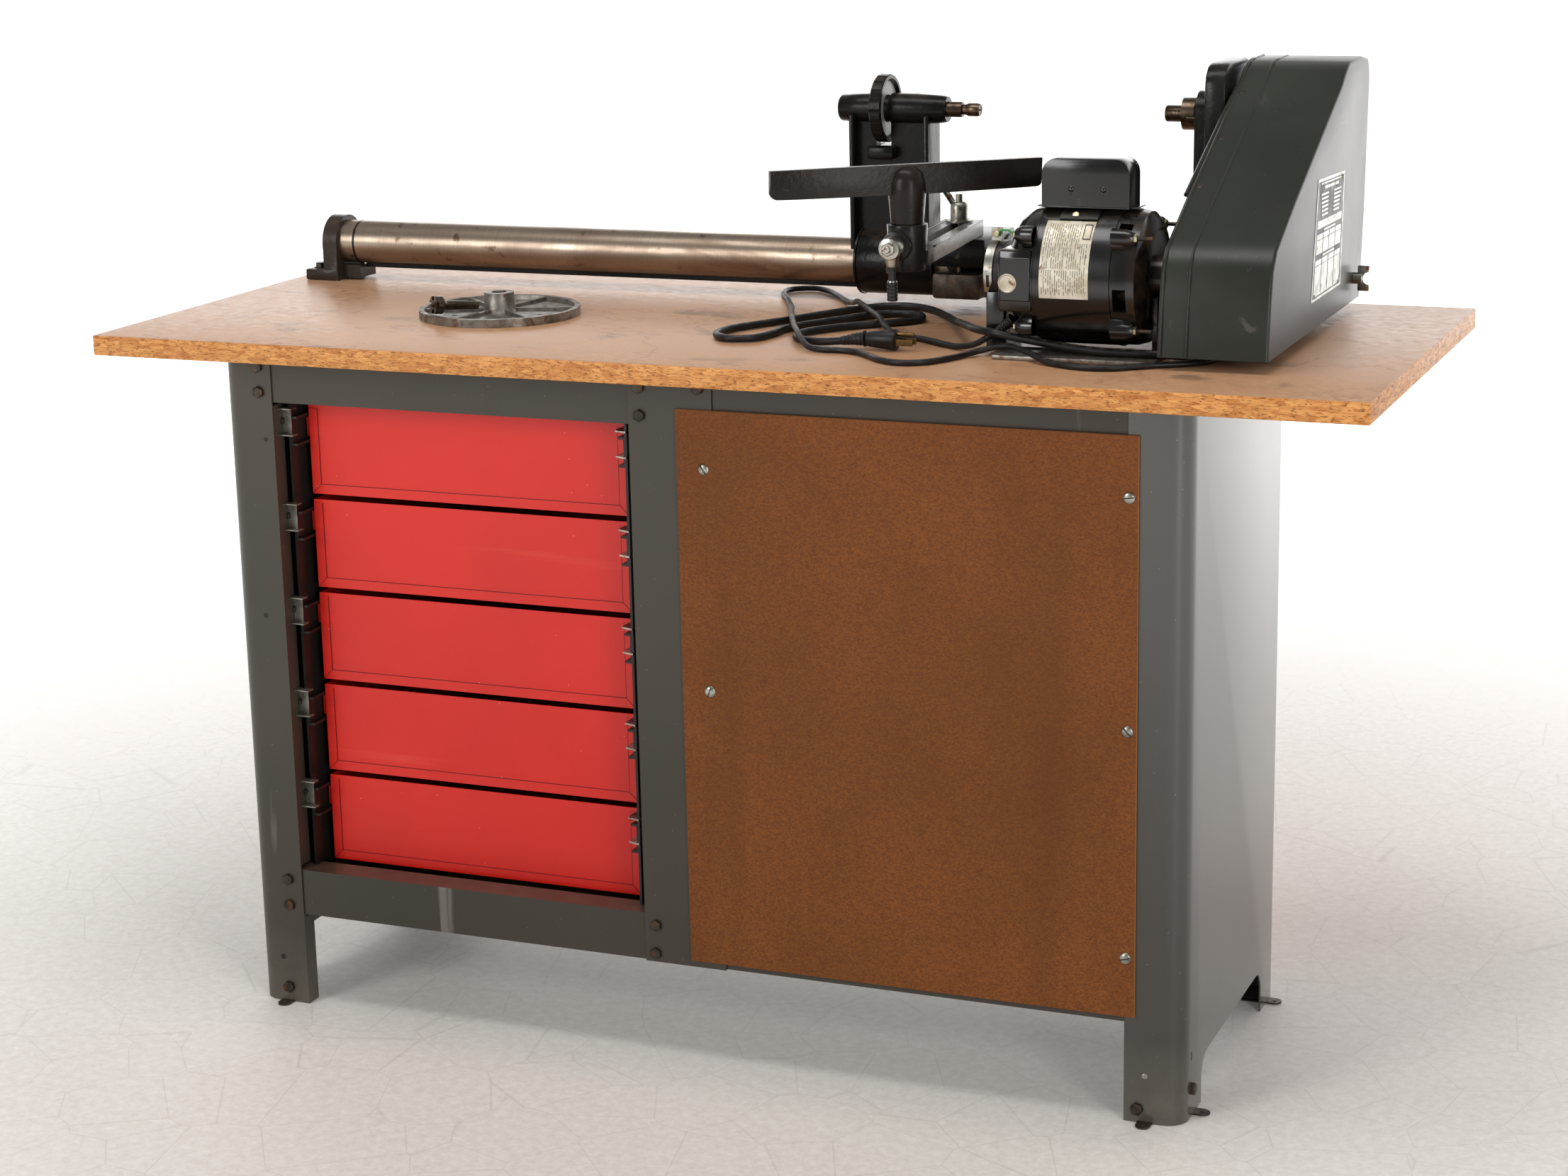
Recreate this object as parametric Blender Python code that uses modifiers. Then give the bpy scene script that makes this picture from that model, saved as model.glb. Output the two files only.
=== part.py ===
"""Single-tube wood lathe bolted to a steel drawer bench.

Metres, +Z up, +X towards the headstock, +Y towards the operator. The origin is on the floor, under the middle
of the bench top.
"""
import math

import bmesh
import bpy
from mathutils import Matrix, Vector

GAP = 0.0003  # kept between pieces that touch

# Bench
TOP_LENGTH = 1.524
TOP_DEPTH = 0.610
TOP_THICK = 0.024
TOP_Z = 0.846
CABINET_LEFT = -0.628
CABINET_RIGHT = 0.562
CABINET_REAR = -0.2426
CABINET_FRONT = 0.1974
CABINET_TOP = TOP_Z - TOP_THICK - GAP
SHEET = 0.002
CORNER_RADIUS = 0.025
FLANGE = 0.068
RETURN = 0.022
RAIL_HEIGHT = 0.058
RAIL_DEPTH = 0.035
LOWER_RAIL_Z = 0.118
UPPER_RAIL_Z = CABINET_TOP - RAIL_HEIGHT
POST_LEFT = -0.092
POST_RIGHT = 0.011
DRAWER_LEFT = -0.541
DRAWER_RIGHT = -0.119
DRAWER_REAR = -0.190
DRAWER_FRONT = 0.1975
DRAWER_HEIGHT = 0.106
DRAWER_PITCH = 0.1166
DRAWER_FIRST_Z = 0.647
DRAWER_COUNT = 5
DRAWER_WALL = 0.0016

# Lathe bed: one tube along X
BED_Y = 0.185
BED_Z = 0.8944
BED_RADIUS = 0.0277
BED_BORE = 0.0235
BED_LEFT = -0.6907
BED_RIGHT = 0.5078

# Centre line of the spindle and the tailstock
SPINDLE_Z = 1.0807
NOSE_X = 0.4155
COLLAR_X = 0.4370
HEAD_LEFT = 0.4560
HEAD_BOX_LEFT = 0.4750
HEAD_BOX_RIGHT = 0.4998
HEAD_RIGHT = 0.5081

# Tailstock
TAIL_LEFT = 0.0080
TAIL_RIGHT = 0.1455
WHEEL_X = 0.0650
WHEEL_RADIUS = 0.0410
WHEEL_WIDTH = 0.0145
CLAMP_RADIUS = 0.0395

# Tool rest
STUD = Vector((0.184, 0.111, 0.0))
ARM_LENGTH = 0.2317
ARM_TURN = math.radians(4.45)
ARM_BOTTOM = 0.9390
ARM_TOP = 0.9550
ARM_WIDTH = 0.048
REST_LENGTH = 0.316
REST_TURN = math.radians(37.3)
REST_TOP = 1.051

# Motor
MOTOR_Y = -0.105
MOTOR_Z = 0.933
MOTOR_RADIUS = 0.0760
MOTOR_WALL = 0.0030
CAPACITOR_BOTTOM = 1.0096

SWITCH_X = 0.4795

# Belt guard
GUARD_LEFT = 0.5084
GUARD_RIGHT = 0.6290
GUARD_BOTTOM = 0.8600
GUARD_SHAPE = (
    (-0.1916, 0.8400), (0.2724, 0.8400), (0.2923, 0.9568), (0.3045, 1.1120), (0.3025, 1.1250),
    (0.2950, 1.1380), (0.2620, 1.1430), (0.1950, 1.1420), (0.1720, 1.1330), (0.1506, 1.1190),
    (-0.0685, 1.0180), (-0.1380, 0.9830), (-0.1590, 0.9720), (-0.1725, 0.9550), (-0.1805, 0.9200),
)  # (Y, Z) round the cover, before it is cut off at GUARD_BOTTOM
HINGE_X = 0.5054
HINGE_LOW = Vector((HINGE_X, -0.0640, 1.0180))
HINGE_HIGH = Vector((HINGE_X, 0.1600, 1.1160))
PULLEY_X = 0.5165
PULLEY_STEP = 0.0235
SPINDLE_STEPS = (0.045, 0.039, 0.033, 0.027)
MOTOR_STEPS = (0.026, 0.033, 0.039, 0.045)

# Cords: centre lines, from the exit to the far end
BENCH_CORD = 0.0045
LEAD_CORD = 0.0035
SUPPLY_ROUTE = (
    (0.4700, 0.1230, 0.8560), (0.4780, 0.0900, 0.8520), (0.4990, 0.0350, 0.8508), (0.5200, -0.0200, 0.8508),
    (0.5330, -0.0750, 0.8508), (0.5310, -0.1100, 0.8512), (0.5230, -0.1360, 0.8530), (0.5050, -0.1490, 0.8558),
    (0.4850, -0.1525, 0.8563), (0.4420, -0.1550, 0.8567), (0.4100, -0.1555, 0.8590), (0.3777, -0.1560, 0.8630),
    (0.3400, -0.1565, 0.8685), (0.3126, -0.1545, 0.8725), (0.2860, -0.1340, 0.8720), (0.2620, -0.0880, 0.8668),
    (0.2365, -0.0360, 0.8600), (0.2120, 0.0150, 0.8532), (0.1850, 0.0600, 0.8510), (0.1520, 0.1000, 0.8508),
    (0.1190, 0.1180, 0.8508), (0.0860, 0.1090, 0.8508), (0.0620, 0.0790, 0.8508), (0.0410, 0.0420, 0.8508),
    (0.0163, -0.0048, 0.8508), (-0.0100, -0.0500, 0.8508), (-0.0300, -0.0900, 0.8508), (-0.0310, -0.1260, 0.8508),
    (-0.0080, -0.1500, 0.8508), (0.0210, -0.1400, 0.8508), (0.0300, -0.1050, 0.8508), (0.0320, -0.0720, 0.8508),
    (0.0490, -0.0320, 0.8508), (0.0760, 0.0120, 0.8508), (0.0980, 0.0450, 0.8508), (0.1250, 0.0660, 0.8508),
    (0.1530, 0.0580, 0.8508), (0.1610, 0.0290, 0.8508), (0.1390, 0.0010, 0.8508), (0.1080, -0.0260, 0.8508),
    (0.0800, -0.0590, 0.8508), (0.0620, -0.0930, 0.8508), (0.0690, -0.1260, 0.8508), (0.0980, -0.1430, 0.8510),
    (0.1260, -0.1490, 0.8535), (0.1480, -0.1525, 0.8572), (0.1625, -0.1530, 0.8587),
)
LEAD_ROUTE = (
    (0.3335, -0.1450, 0.8860), (0.3270, -0.1447, 0.8815), (0.3170, -0.1445, 0.8740), (0.3020, -0.1435, 0.8640),
    (0.2860, -0.1390, 0.8555), (0.2645, -0.1300, 0.8505), (0.2430, -0.1160, 0.8498), (0.2150, -0.0950, 0.8498),
    (0.1860, -0.0770, 0.8498), (0.1620, -0.0600, 0.8500), (0.1440, -0.0400, 0.8540), (0.1320, -0.0220, 0.8590),
    (0.1220, -0.0070, 0.8604), (0.1110, 0.0100, 0.8600), (0.0990, 0.0300, 0.8602), (0.0880, 0.0470, 0.8600),
    (0.0760, 0.0650, 0.8602), (0.0640, 0.0820, 0.8602), (0.0490, 0.1070, 0.8545), (0.0290, 0.1390, 0.8500),
    (0.0040, 0.1760, 0.8498), (-0.0230, 0.2110, 0.8498), (-0.0500, 0.2280, 0.8498), (-0.0740, 0.2120, 0.8498),
    (-0.0720, 0.1810, 0.8498), (-0.0500, 0.1400, 0.8498), (-0.0260, 0.0900, 0.8510), (-0.0040, 0.0400, 0.8565),
    (0.0110, 0.0000, 0.8602), (0.0240, -0.0300, 0.8600), (0.0370, -0.0600, 0.8604), (0.0490, -0.0860, 0.8600),
    (0.0600, -0.1100, 0.8602), (0.0720, -0.1330, 0.8604), (0.0860, -0.1560, 0.8560), (0.1030, -0.1760, 0.8505),
    (0.1230, -0.1850, 0.8498), (0.1450, -0.1840, 0.8498), (0.1660, -0.1900, 0.8498), (0.1860, -0.2070, 0.8498),
    (0.2080, -0.2290, 0.8498), (0.2340, -0.2400, 0.8498), (0.2590, -0.2300, 0.8498), (0.2750, -0.2040, 0.8498),
    (0.2870, -0.1760, 0.8500), (0.3040, -0.1570, 0.8535), (0.3250, -0.1530, 0.8580), (0.3460, -0.1620, 0.8572),
    (0.3640, -0.1780, 0.8553), (0.3840, -0.1930, 0.8508), (0.4080, -0.2060, 0.8498), (0.4360, -0.2140, 0.8498),
    (0.4620, -0.2110, 0.8498), (0.4830, -0.1970, 0.8498), (0.5030, -0.1820, 0.8498), (0.5240, -0.1700, 0.8498),
    (0.5450, -0.1540, 0.8498), (0.5580, -0.1270, 0.8498), (0.5590, -0.0850, 0.8498), (0.5460, -0.0300, 0.8498),
    (0.5230, 0.0300, 0.8498), (0.5030, 0.0900, 0.8505), (0.4960, 0.1230, 0.8530),
)
PLUG_X = 0.1643
PLUG_Y = -0.1530
PLUG_Z = 0.8587

PAINT = {
    "board": ((0.62, 0.45, 0.32), 0.6, 0.0),
    "cabinet_paint": ((0.065, 0.070, 0.060), 0.35, 0.2),
    "drawer_paint": ((0.58, 0.035, 0.025), 0.4, 0.1),
    "hardboard": ((0.16, 0.055, 0.02), 0.6, 0.0),
    "zinc": ((0.62, 0.62, 0.58), 0.35, 1.0),
    "bed_steel": ((0.42, 0.36, 0.31), 0.3, 1.0),
    "casting_paint": ((0.028, 0.029, 0.028), 0.3, 0.1),
    "bright_steel": ((0.55, 0.52, 0.48), 0.3, 1.0),
    "brown_steel": ((0.14, 0.09, 0.06), 0.55, 0.7),
    "guard_paint": ((0.035, 0.042, 0.035), 0.4, 0.1),
    "motor_paint": ((0.012, 0.013, 0.013), 0.25, 0.0),
    "bronze": ((0.35, 0.24, 0.16), 0.35, 1.0),
    "rubber": ((0.015, 0.015, 0.015), 0.6, 0.0),
    "aluminium": ((0.70, 0.70, 0.68), 0.35, 1.0),
    "grey_iron": ((0.20, 0.20, 0.18), 0.55, 0.7),
    "switch_red": ((0.50, 0.03, 0.02), 0.35, 0.0),
}
AXES = {"x": Vector((1, 0, 0)), "y": Vector((0, 1, 0)), "z": Vector((0, 0, 1))}


def clear_scene():
    for obj in list(bpy.data.objects):
        bpy.data.objects.remove(obj, do_unlink=True)


def new_collection(name):
    collection = bpy.data.collections.new(name)
    bpy.context.scene.collection.children.link(collection)
    return collection


def paint(name):
    material = bpy.data.materials.get(name)
    if material is None:
        colour, roughness, metallic = PAINT[name]
        material = bpy.data.materials.new(name)
        material.use_nodes = True
        shader = material.node_tree.nodes["Principled BSDF"]
        shader.inputs["Base Color"].default_value = (*colour, 1.0)
        shader.inputs["Roughness"].default_value = roughness
        shader.inputs["Metallic"].default_value = metallic
    return material


clear_scene()
PARTS = new_collection("wood_lathe")
CUTTERS = new_collection("cutters")


def add(name, data, location, colour=None, matrix=None):
    """A new object in the parts collection."""
    obj = bpy.data.objects.new(name, data)
    PARTS.objects.link(obj)
    if matrix is not None:
        obj.matrix_world = matrix
    else:
        obj.location = location
    if colour:
        data.materials.clear()
        data.materials.append(paint(colour))
    return obj


def mesh_from(bm, name):
    mesh = bpy.data.meshes.new(name)
    bm.to_mesh(mesh)
    bm.free()
    return mesh


def bevel(obj, width, segments=2, angle=math.radians(35)):
    modifier = obj.modifiers.new("edges", "BEVEL")
    modifier.width = width
    modifier.segments = segments
    modifier.limit_method = "ANGLE"
    modifier.angle_limit = angle
    return obj


def box(name, low, high, colour=None, origin=None, edge=0.0):
    """A box from its lowest to its highest corner, with its origin at its middle unless one is given."""
    low = Vector(low)
    high = Vector(high)
    middle = (low + high) / 2
    origin = middle if origin is None else Vector(origin)
    bm = bmesh.new()
    size = Matrix.Diagonal((*(high - low), 1.0))
    bmesh.ops.create_cube(bm, size=1.0, matrix=Matrix.Translation(middle - origin) @ size)
    obj = add(name, mesh_from(bm, name), origin, colour)
    if edge:
        bevel(obj, edge)
    return obj


def along(axis):
    """The rotation that turns +Z to this axis."""
    axis = AXES[axis] if isinstance(axis, str) else Vector(axis)
    return Vector((0, 0, 1)).rotation_difference(axis).to_matrix().to_4x4()


def rod(name, start, end, radius, colour=None, sides=32, end_radius=None, edge=0.0):
    """A cylinder or a cone from start to end, with its origin at its start."""
    start = Vector(start)
    run = Vector(end) - start
    bm = bmesh.new()
    place = along(run) @ Matrix.Translation((0, 0, run.length / 2))
    second = radius if end_radius is None else end_radius
    bmesh.ops.create_cone(
        bm, cap_ends=True, segments=sides, radius1=radius, radius2=second, depth=run.length, matrix=place
    )
    obj = add(name, mesh_from(bm, name), start, colour)
    smooth(obj)
    if edge:
        bevel(obj, edge, 2, math.radians(60))
    return obj


def smooth(obj):
    obj.data.shade_smooth()
    obj.data.set_sharp_from_angle(angle=math.radians(40))
    return obj


def turned(name, profile, origin, axis, colour=None, sides=32):
    """A shape turned about an axis. The profile's points are (radius, distance along the axis)."""
    bm = bmesh.new()
    points = [bm.verts.new((radius, 0, height)) for radius, height in profile]
    closed = profile[0][0] > 1e-6 or profile[-1][0] > 1e-6
    for first, second in zip(points, points[1:]):
        bm.edges.new((first, second))
    if closed:
        bm.edges.new((points[-1], points[0]))
    matrix = Matrix.Translation(origin) @ along(axis)
    obj = add(name, mesh_from(bm, name), origin, colour, matrix)
    screw = obj.modifiers.new("turn", "SCREW")
    screw.steps = sides
    screw.render_steps = sides
    screw.use_merge_vertices = True
    screw.merge_threshold = 0.00005
    screw.use_normal_calculate = True
    screw.use_smooth_shade = True
    return baked(obj)


def ring(name, inner, outer, start, length, origin, axis, colour=None, sides=28):
    profile = ((outer, start + length), (outer, start), (inner, start), (inner, start + length))
    return turned(name, profile, origin, axis, colour, sides)


def baked(obj):
    """The same object with its modifiers applied to its mesh and its normals facing out."""
    graph = bpy.context.evaluated_depsgraph_get()
    mesh = bpy.data.meshes.new_from_object(obj.evaluated_get(graph))
    bm = bmesh.new()
    bm.from_mesh(mesh)
    bmesh.ops.remove_doubles(bm, verts=bm.verts, dist=0.00002)
    bmesh.ops.recalc_face_normals(bm, faces=bm.faces)
    bm.to_mesh(mesh)
    bm.free()
    name = obj.name
    materials = list(obj.data.materials)
    matrix = obj.matrix_world.copy()
    bpy.data.objects.remove(obj, do_unlink=True)
    made = add(name, mesh, (0, 0, 0), None, matrix)
    if materials and not mesh.materials:
        mesh.materials.append(materials[0])
    return smooth(made)


def extruded(name, outline, start, depth, axis, colour=None, origin=None):
    """A flat outline given as (first, second) row coordinates, extruded along an axis from start.

    The outline's coordinates are (Y, Z) for axis x, (X, Z) for axis y and (X, Y) for axis z.
    """
    origin = Vector((0, 0, 0)) if origin is None else Vector(origin)
    curve = bpy.data.curves.new(name, "CURVE")
    curve.dimensions = "2D"
    curve.fill_mode = "BOTH"
    curve.extrude = depth / 2
    spline = curve.splines.new("POLY")
    spline.use_cyclic_u = True
    spline.points.add(len(outline) - 1)
    middle = start + depth / 2
    if axis == "x":
        turn = Matrix(((0, 0, 1, middle), (1, 0, 0, 0), (0, 1, 0, 0), (0, 0, 0, 1)))
    elif axis == "y":
        turn = Matrix(((1, 0, 0, 0), (0, 0, -1, middle), (0, 1, 0, 0), (0, 0, 0, 1)))
    else:
        turn = Matrix.Translation((0, 0, middle))
    for point, (first, second) in zip(spline.points, outline):
        point.co = (first, second, 0, 1)
    obj = add(name, curve, (0, 0, 0), colour, turn)
    bpy.context.view_layer.update()
    obj = baked(obj)
    obj.data.transform(Matrix.Translation(-origin) @ obj.matrix_world)
    obj.matrix_world = Matrix.Translation(origin)
    return obj


def arc(centre, radius, first_deg, last_deg, steps=8):
    """Points along an arc, both ends included."""
    turns = [math.radians(first_deg + (last_deg - first_deg) * i / steps) for i in range(steps + 1)]
    return [(centre[0] + radius * math.cos(a), centre[1] + radius * math.sin(a)) for a in turns]


def rounded_box_outline(low, high, radius, steps=5):
    (x0, y0), (x1, y1) = low, high
    corners = (((x1 - radius, y1 - radius), 0), ((x0 + radius, y1 - radius), 90),
               ((x0 + radius, y0 + radius), 180), ((x1 - radius, y0 + radius), 270))
    return [point for centre, turn in corners for point in arc(centre, radius, turn, turn + 90, steps)]


def helper(obj):
    """Moves a cutter or a joined shape out of the parts, and keeps it out of renders."""
    PARTS.objects.unlink(obj)
    CUTTERS.objects.link(obj)
    obj.hide_render = True
    obj.display_type = "WIRE"
    return obj


def boolean(obj, other, operation):
    modifier = obj.modifiers.new(operation.lower(), "BOOLEAN")
    modifier.operation = operation
    modifier.object = helper(other)


def cut(obj, *cutters):
    for cutter in cutters:
        boolean(obj, cutter, "DIFFERENCE")
    return obj


def join(obj, *others):
    for other in others:
        boolean(obj, other, "UNION")
    return obj


def folded(name, path, start, length, axis, colour):
    """Sheet metal bent along a path of two coordinates, then extruded along an axis, SHEET thick about the path."""
    bm = bmesh.new()
    place = {
        "x": lambda p, q: (q, p[0], p[1]),
        "z": lambda p, q: (p[0], p[1], q),
    }[axis]
    rows = [[bm.verts.new(place(point, q)) for point in path] for q in (start, start + length)]
    for i in range(len(path) - 1):
        bm.faces.new((rows[0][i], rows[0][i + 1], rows[1][i + 1], rows[1][i]))
    obj = add(name, mesh_from(bm, name), (0, 0, 0), colour)
    solidify = obj.modifiers.new("sheet", "SOLIDIFY")
    solidify.thickness = SHEET
    solidify.offset = 0.0
    solidify.use_even_offset = True
    return baked(obj)


def empty(name, location):
    obj = bpy.data.objects.new(name, None)
    PARTS.objects.link(obj)
    obj.location = location
    return obj


def hold(parent, *children):
    """Parents the children without moving them."""
    bpy.context.view_layer.update()
    for child in children:
        child.parent = parent
        child.matrix_parent_inverse = parent.matrix_world.inverted()


def bench_top():
    half_x = TOP_LENGTH / 2
    half_y = TOP_DEPTH / 2
    return box("bench_top", (-half_x, -half_y, TOP_Z - TOP_THICK), (half_x, half_y, TOP_Z), "board", edge=0.0015)


def side_panel(name, outer_x, direction):
    """A side of the cabinet: one sheet whose flanges wrap round both faces, arched between its feet."""
    half = SHEET / 2
    web = outer_x + direction * half
    rear = CABINET_REAR + half
    front = CABINET_FRONT - half
    inner = outer_x + direction * FLANGE
    r = CORNER_RADIUS
    centre_x = web + direction * r
    bends = [math.radians(a) for a in range(0, 91, 18)]
    low = [(centre_x - direction * r * math.sin(a), rear + r - r * math.cos(a)) for a in bends]
    high = [(centre_x - direction * r * math.cos(a), front - r + r * math.sin(a)) for a in bends]
    path = [(inner, rear + RETURN), (inner, rear), *low, *high, (inner, front), (inner, front - RETURN)]
    panel = folded(name, path, 0.0, CABINET_TOP, "z", "cabinet_paint")
    arch = extruded(
        name + "_arch",
        [(-0.165, -0.01), (0.120, -0.01), (0.120, 0.030), *arc((0.095, 0.030), 0.025, 0, 90, 4),
         *arc((-0.140, 0.030), 0.025, 90, 180, 4)],
        outer_x - 0.03, 0.06, "x",
    )
    feet = []
    for side, sign, face in (("rear", 1, CABINET_REAR), ("front", -1, CABINET_FRONT)):
        centre = (outer_x + direction * (half + r), face + sign * (half + r))
        foot = [(outer_x + direction * 0.050, face + sign * half), (outer_x + direction * 0.050, face + sign * 0.045),
                (outer_x + direction * half, face + sign * 0.045)]
        for step in range(5):
            turn = math.radians(90 * step / 4)
            foot.append((centre[0] - direction * r * math.cos(turn), centre[1] - sign * r * math.sin(turn)))
        feet.append(extruded(f"{name}_foot_{side}", foot, 0.0, 0.003, "z"))
    join(panel, *feet)
    notches = []
    inner_low = min(inner - direction * 0.006, inner + direction * 0.004)
    inner_high = max(inner - direction * 0.006, inner + direction * 0.004)
    for level in (LOWER_RAIL_Z, UPPER_RAIL_Z):
        for side, y in (("rear", CABINET_REAR + SHEET), ("front", CABINET_FRONT - SHEET - RETURN - 0.002)):
            notches.append(box(
                f"{name}_notch_{side}_{level:.1f}",
                (inner_low, y, level - 0.004), (inner_high, y + RETURN + 0.002, level + RAIL_HEIGHT + 0.006),
            ))
    return cut(panel, arch, *notches)


def rail(name, bottom, face_y, inward):
    """A channel whose web faces out and whose flanges point into the cabinet."""
    half = SHEET / 2
    web = face_y + inward * (SHEET + GAP + half)
    edge = web + inward * RAIL_DEPTH
    low = bottom + half
    high = bottom + RAIL_HEIGHT - half
    path = [(edge, low), (web, low), (web, high), (edge, high)]
    left = CABINET_LEFT + 0.030
    return folded(name, path, left, CABINET_RIGHT - 0.030 - left, "x", "cabinet_paint")


def centre_post(name, face_y, inward):
    half = SHEET / 2
    web = face_y + inward * half
    edge = web + inward * RETURN
    path = [(POST_LEFT + half, edge), (POST_LEFT + half, web), (POST_RIGHT - half, web), (POST_RIGHT - half, edge)]
    post = folded(name, path, LOWER_RAIL_Z - 0.001, CABINET_TOP - LOWER_RAIL_Z + 0.001, "z", "cabinet_paint")
    notches = []
    for level in (LOWER_RAIL_Z - 0.004, UPPER_RAIL_Z - 0.004):
        y = sorted((web + inward * half, edge + inward * 0.002))
        notches.append(box(
            f"{name}_notch_{level:.1f}", (POST_LEFT - 0.002, y[0], level), (POST_RIGHT + 0.002, y[1], level + 0.070)
        ))
    return cut(post, *notches)


def front_frame():
    """The operator side's welded frame: two rails and the post between the drawers and the cupboard."""
    thick = 0.004
    high_y = CABINET_FRONT - SHEET - GAP
    low_y = high_y - thick
    left = CABINET_LEFT + 0.030
    right = CABINET_RIGHT - 0.030
    frame = box("front_frame", (left, low_y, UPPER_RAIL_Z), (right, high_y, CABINET_TOP), "cabinet_paint")
    lower = box("front_frame_lower", (left, low_y, LOWER_RAIL_Z), (right, high_y, LOWER_RAIL_Z + RAIL_HEIGHT))
    post = box(
        "front_frame_post", (POST_LEFT + 0.02, low_y - 0.012, LOWER_RAIL_Z + 0.01),
        (POST_RIGHT - 0.02, high_y, CABINET_TOP - 0.01),
    )
    return join(frame, lower, post)


def back_panel():
    return box(
        "back_panel", (-0.032, CABINET_REAR - GAP - 0.0038, 0.126), (0.5055, CABINET_REAR - GAP, 0.785), "hardboard"
    )


def cabinet_floor():
    """The sheet that closes the cabinet's underside, between its folded edges and at the foot of the lower rails."""
    z = LOWER_RAIL_Z + 0.0035
    low = (CABINET_LEFT + SHEET + 0.0010, -0.2000, z)
    high = (CABINET_RIGHT - SHEET - 0.0010, 0.1650, z + 0.0016)
    return box("cabinet_floor", low, high, "cabinet_paint")


def drawer_z(index):
    return DRAWER_FIRST_Z - DRAWER_PITCH * index


def drawer(index):
    """An open tray with a rolled rim and a deeper front."""
    z = drawer_z(index)
    name = f"drawer_{index + 1}"
    low = (DRAWER_LEFT, DRAWER_REAR, z)
    high = (DRAWER_RIGHT, DRAWER_FRONT, z + DRAWER_HEIGHT)
    tray = box(name, low, high, "drawer_paint", origin=(DRAWER_LEFT, DRAWER_REAR, z))
    w = DRAWER_WALL
    hollow = box(
        name + "_hollow", (low[0] + w, low[1] + w, low[2] + w), (high[0] - w, high[1] + 0.01, high[2] + 0.01)
    )
    runners = []
    for side, x in (("left", DRAWER_LEFT - 0.0060), ("right", DRAWER_RIGHT - 0.0010)):
        runners.append(box(
            f"{name}_runner_{side}", (x, low[1] + 0.004, z + 0.066), (x + 0.007, DRAWER_FRONT - 0.030, z + 0.090)
        ))
    front = box(
        name + "_front", (DRAWER_LEFT - 0.012, DRAWER_FRONT - 0.0004, z - 0.004),
        (DRAWER_RIGHT + 0.012, DRAWER_FRONT + 0.014, z + DRAWER_HEIGHT + 0.004), edge=0.003,
    )
    grip = box(
        name + "_grip", (DRAWER_LEFT + 0.14, DRAWER_FRONT + 0.0135, z + 0.078),
        (DRAWER_RIGHT - 0.14, DRAWER_FRONT + 0.028, z + 0.084),
    )
    cut(tray, hollow)
    return join(tray, front, grip, *runners)


def slide_rack(name, x, inward):
    """Uprights with one channel for each drawer, open towards the drawer's flank."""
    z0 = LOWER_RAIL_Z + RAIL_HEIGHT + GAP
    z1 = UPPER_RAIL_Z - GAP
    outer, inner = sorted((x, x + inward * 0.003))
    rear = DRAWER_REAR - 0.028
    front = CABINET_FRONT - SHEET - 0.004 - 2 * GAP
    rack = box(name, (outer, rear, z0), (inner, rear + 0.044, z1), "cabinet_paint")
    shapes = [box(name + "_front", (outer, front - 0.030, z0 - 0.020), (inner, front, z1 + 0.020))]
    for index in range(DRAWER_COUNT):
        middle = drawer_z(index) + 0.078
        low_x, high_x = sorted((x + inward * 0.0015, x + inward * 0.0115))
        shapes.append(box(f"{name}_channel_{index}", (low_x, rear, middle - 0.018), (high_x, front, middle + 0.018)))
    join(rack, *shapes)
    for index in range(DRAWER_COUNT):
        middle = drawer_z(index) + 0.078
        low_x, high_x = sorted((x + inward * 0.0045, x + inward * 0.0125))
        cut(rack, box(
            f"{name}_groove_{index}", (low_x, rear - 0.001, middle - 0.015), (high_x, front + 0.001, middle + 0.015)
        ))
    return rack


def cupboard_door():
    """The door over the cupboard, hung on its edge beside the side panel."""
    hinge = (CABINET_RIGHT - 0.050, CABINET_FRONT + 0.003, 0.0)
    low = (POST_RIGHT - 0.030, CABINET_FRONT + 0.0025, 0.150)
    high = (CABINET_RIGHT - 0.0495, CABINET_FRONT + 0.0165, 0.790)
    door = box("cupboard_door", low, high, "drawer_paint", origin=hinge, edge=0.002)
    hollow = box(
        "cupboard_door_hollow", (low[0] + 0.012, low[1] - 0.01, low[2] + 0.012),
        (high[0] - 0.012, high[1] - 0.002, high[2] - 0.012),
    )
    pull = box(
        "cupboard_door_pull", (low[0] + 0.020, high[1] - 0.0005, 0.600), (low[0] + 0.027, high[1] + 0.014, 0.720)
    )
    cut(door, hollow)
    return join(door, pull)


def build_bench():
    pieces = [bench_top()]
    pieces.append(side_panel("side_panel_left", CABINET_LEFT, 1))
    pieces.append(side_panel("side_panel_right", CABINET_RIGHT, -1))
    pieces.append(centre_post("centre_post", CABINET_REAR, 1))
    pieces.append(rail("rail_upper", UPPER_RAIL_Z, CABINET_REAR, 1))
    pieces.append(rail("rail_lower", LOWER_RAIL_Z, CABINET_REAR, 1))
    pieces.append(front_frame())
    pieces.append(back_panel())
    pieces.append(cabinet_floor())
    pieces += [drawer(index) for index in range(DRAWER_COUNT)]
    pieces.append(slide_rack("slide_rack_left", DRAWER_LEFT - 0.0125, 1))
    pieces.append(slide_rack("slide_rack_right", DRAWER_RIGHT + 0.0125, -1))
    pieces.append(cupboard_door())
    hold(empty("bench", (0, 0, 0)), *pieces)


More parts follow.
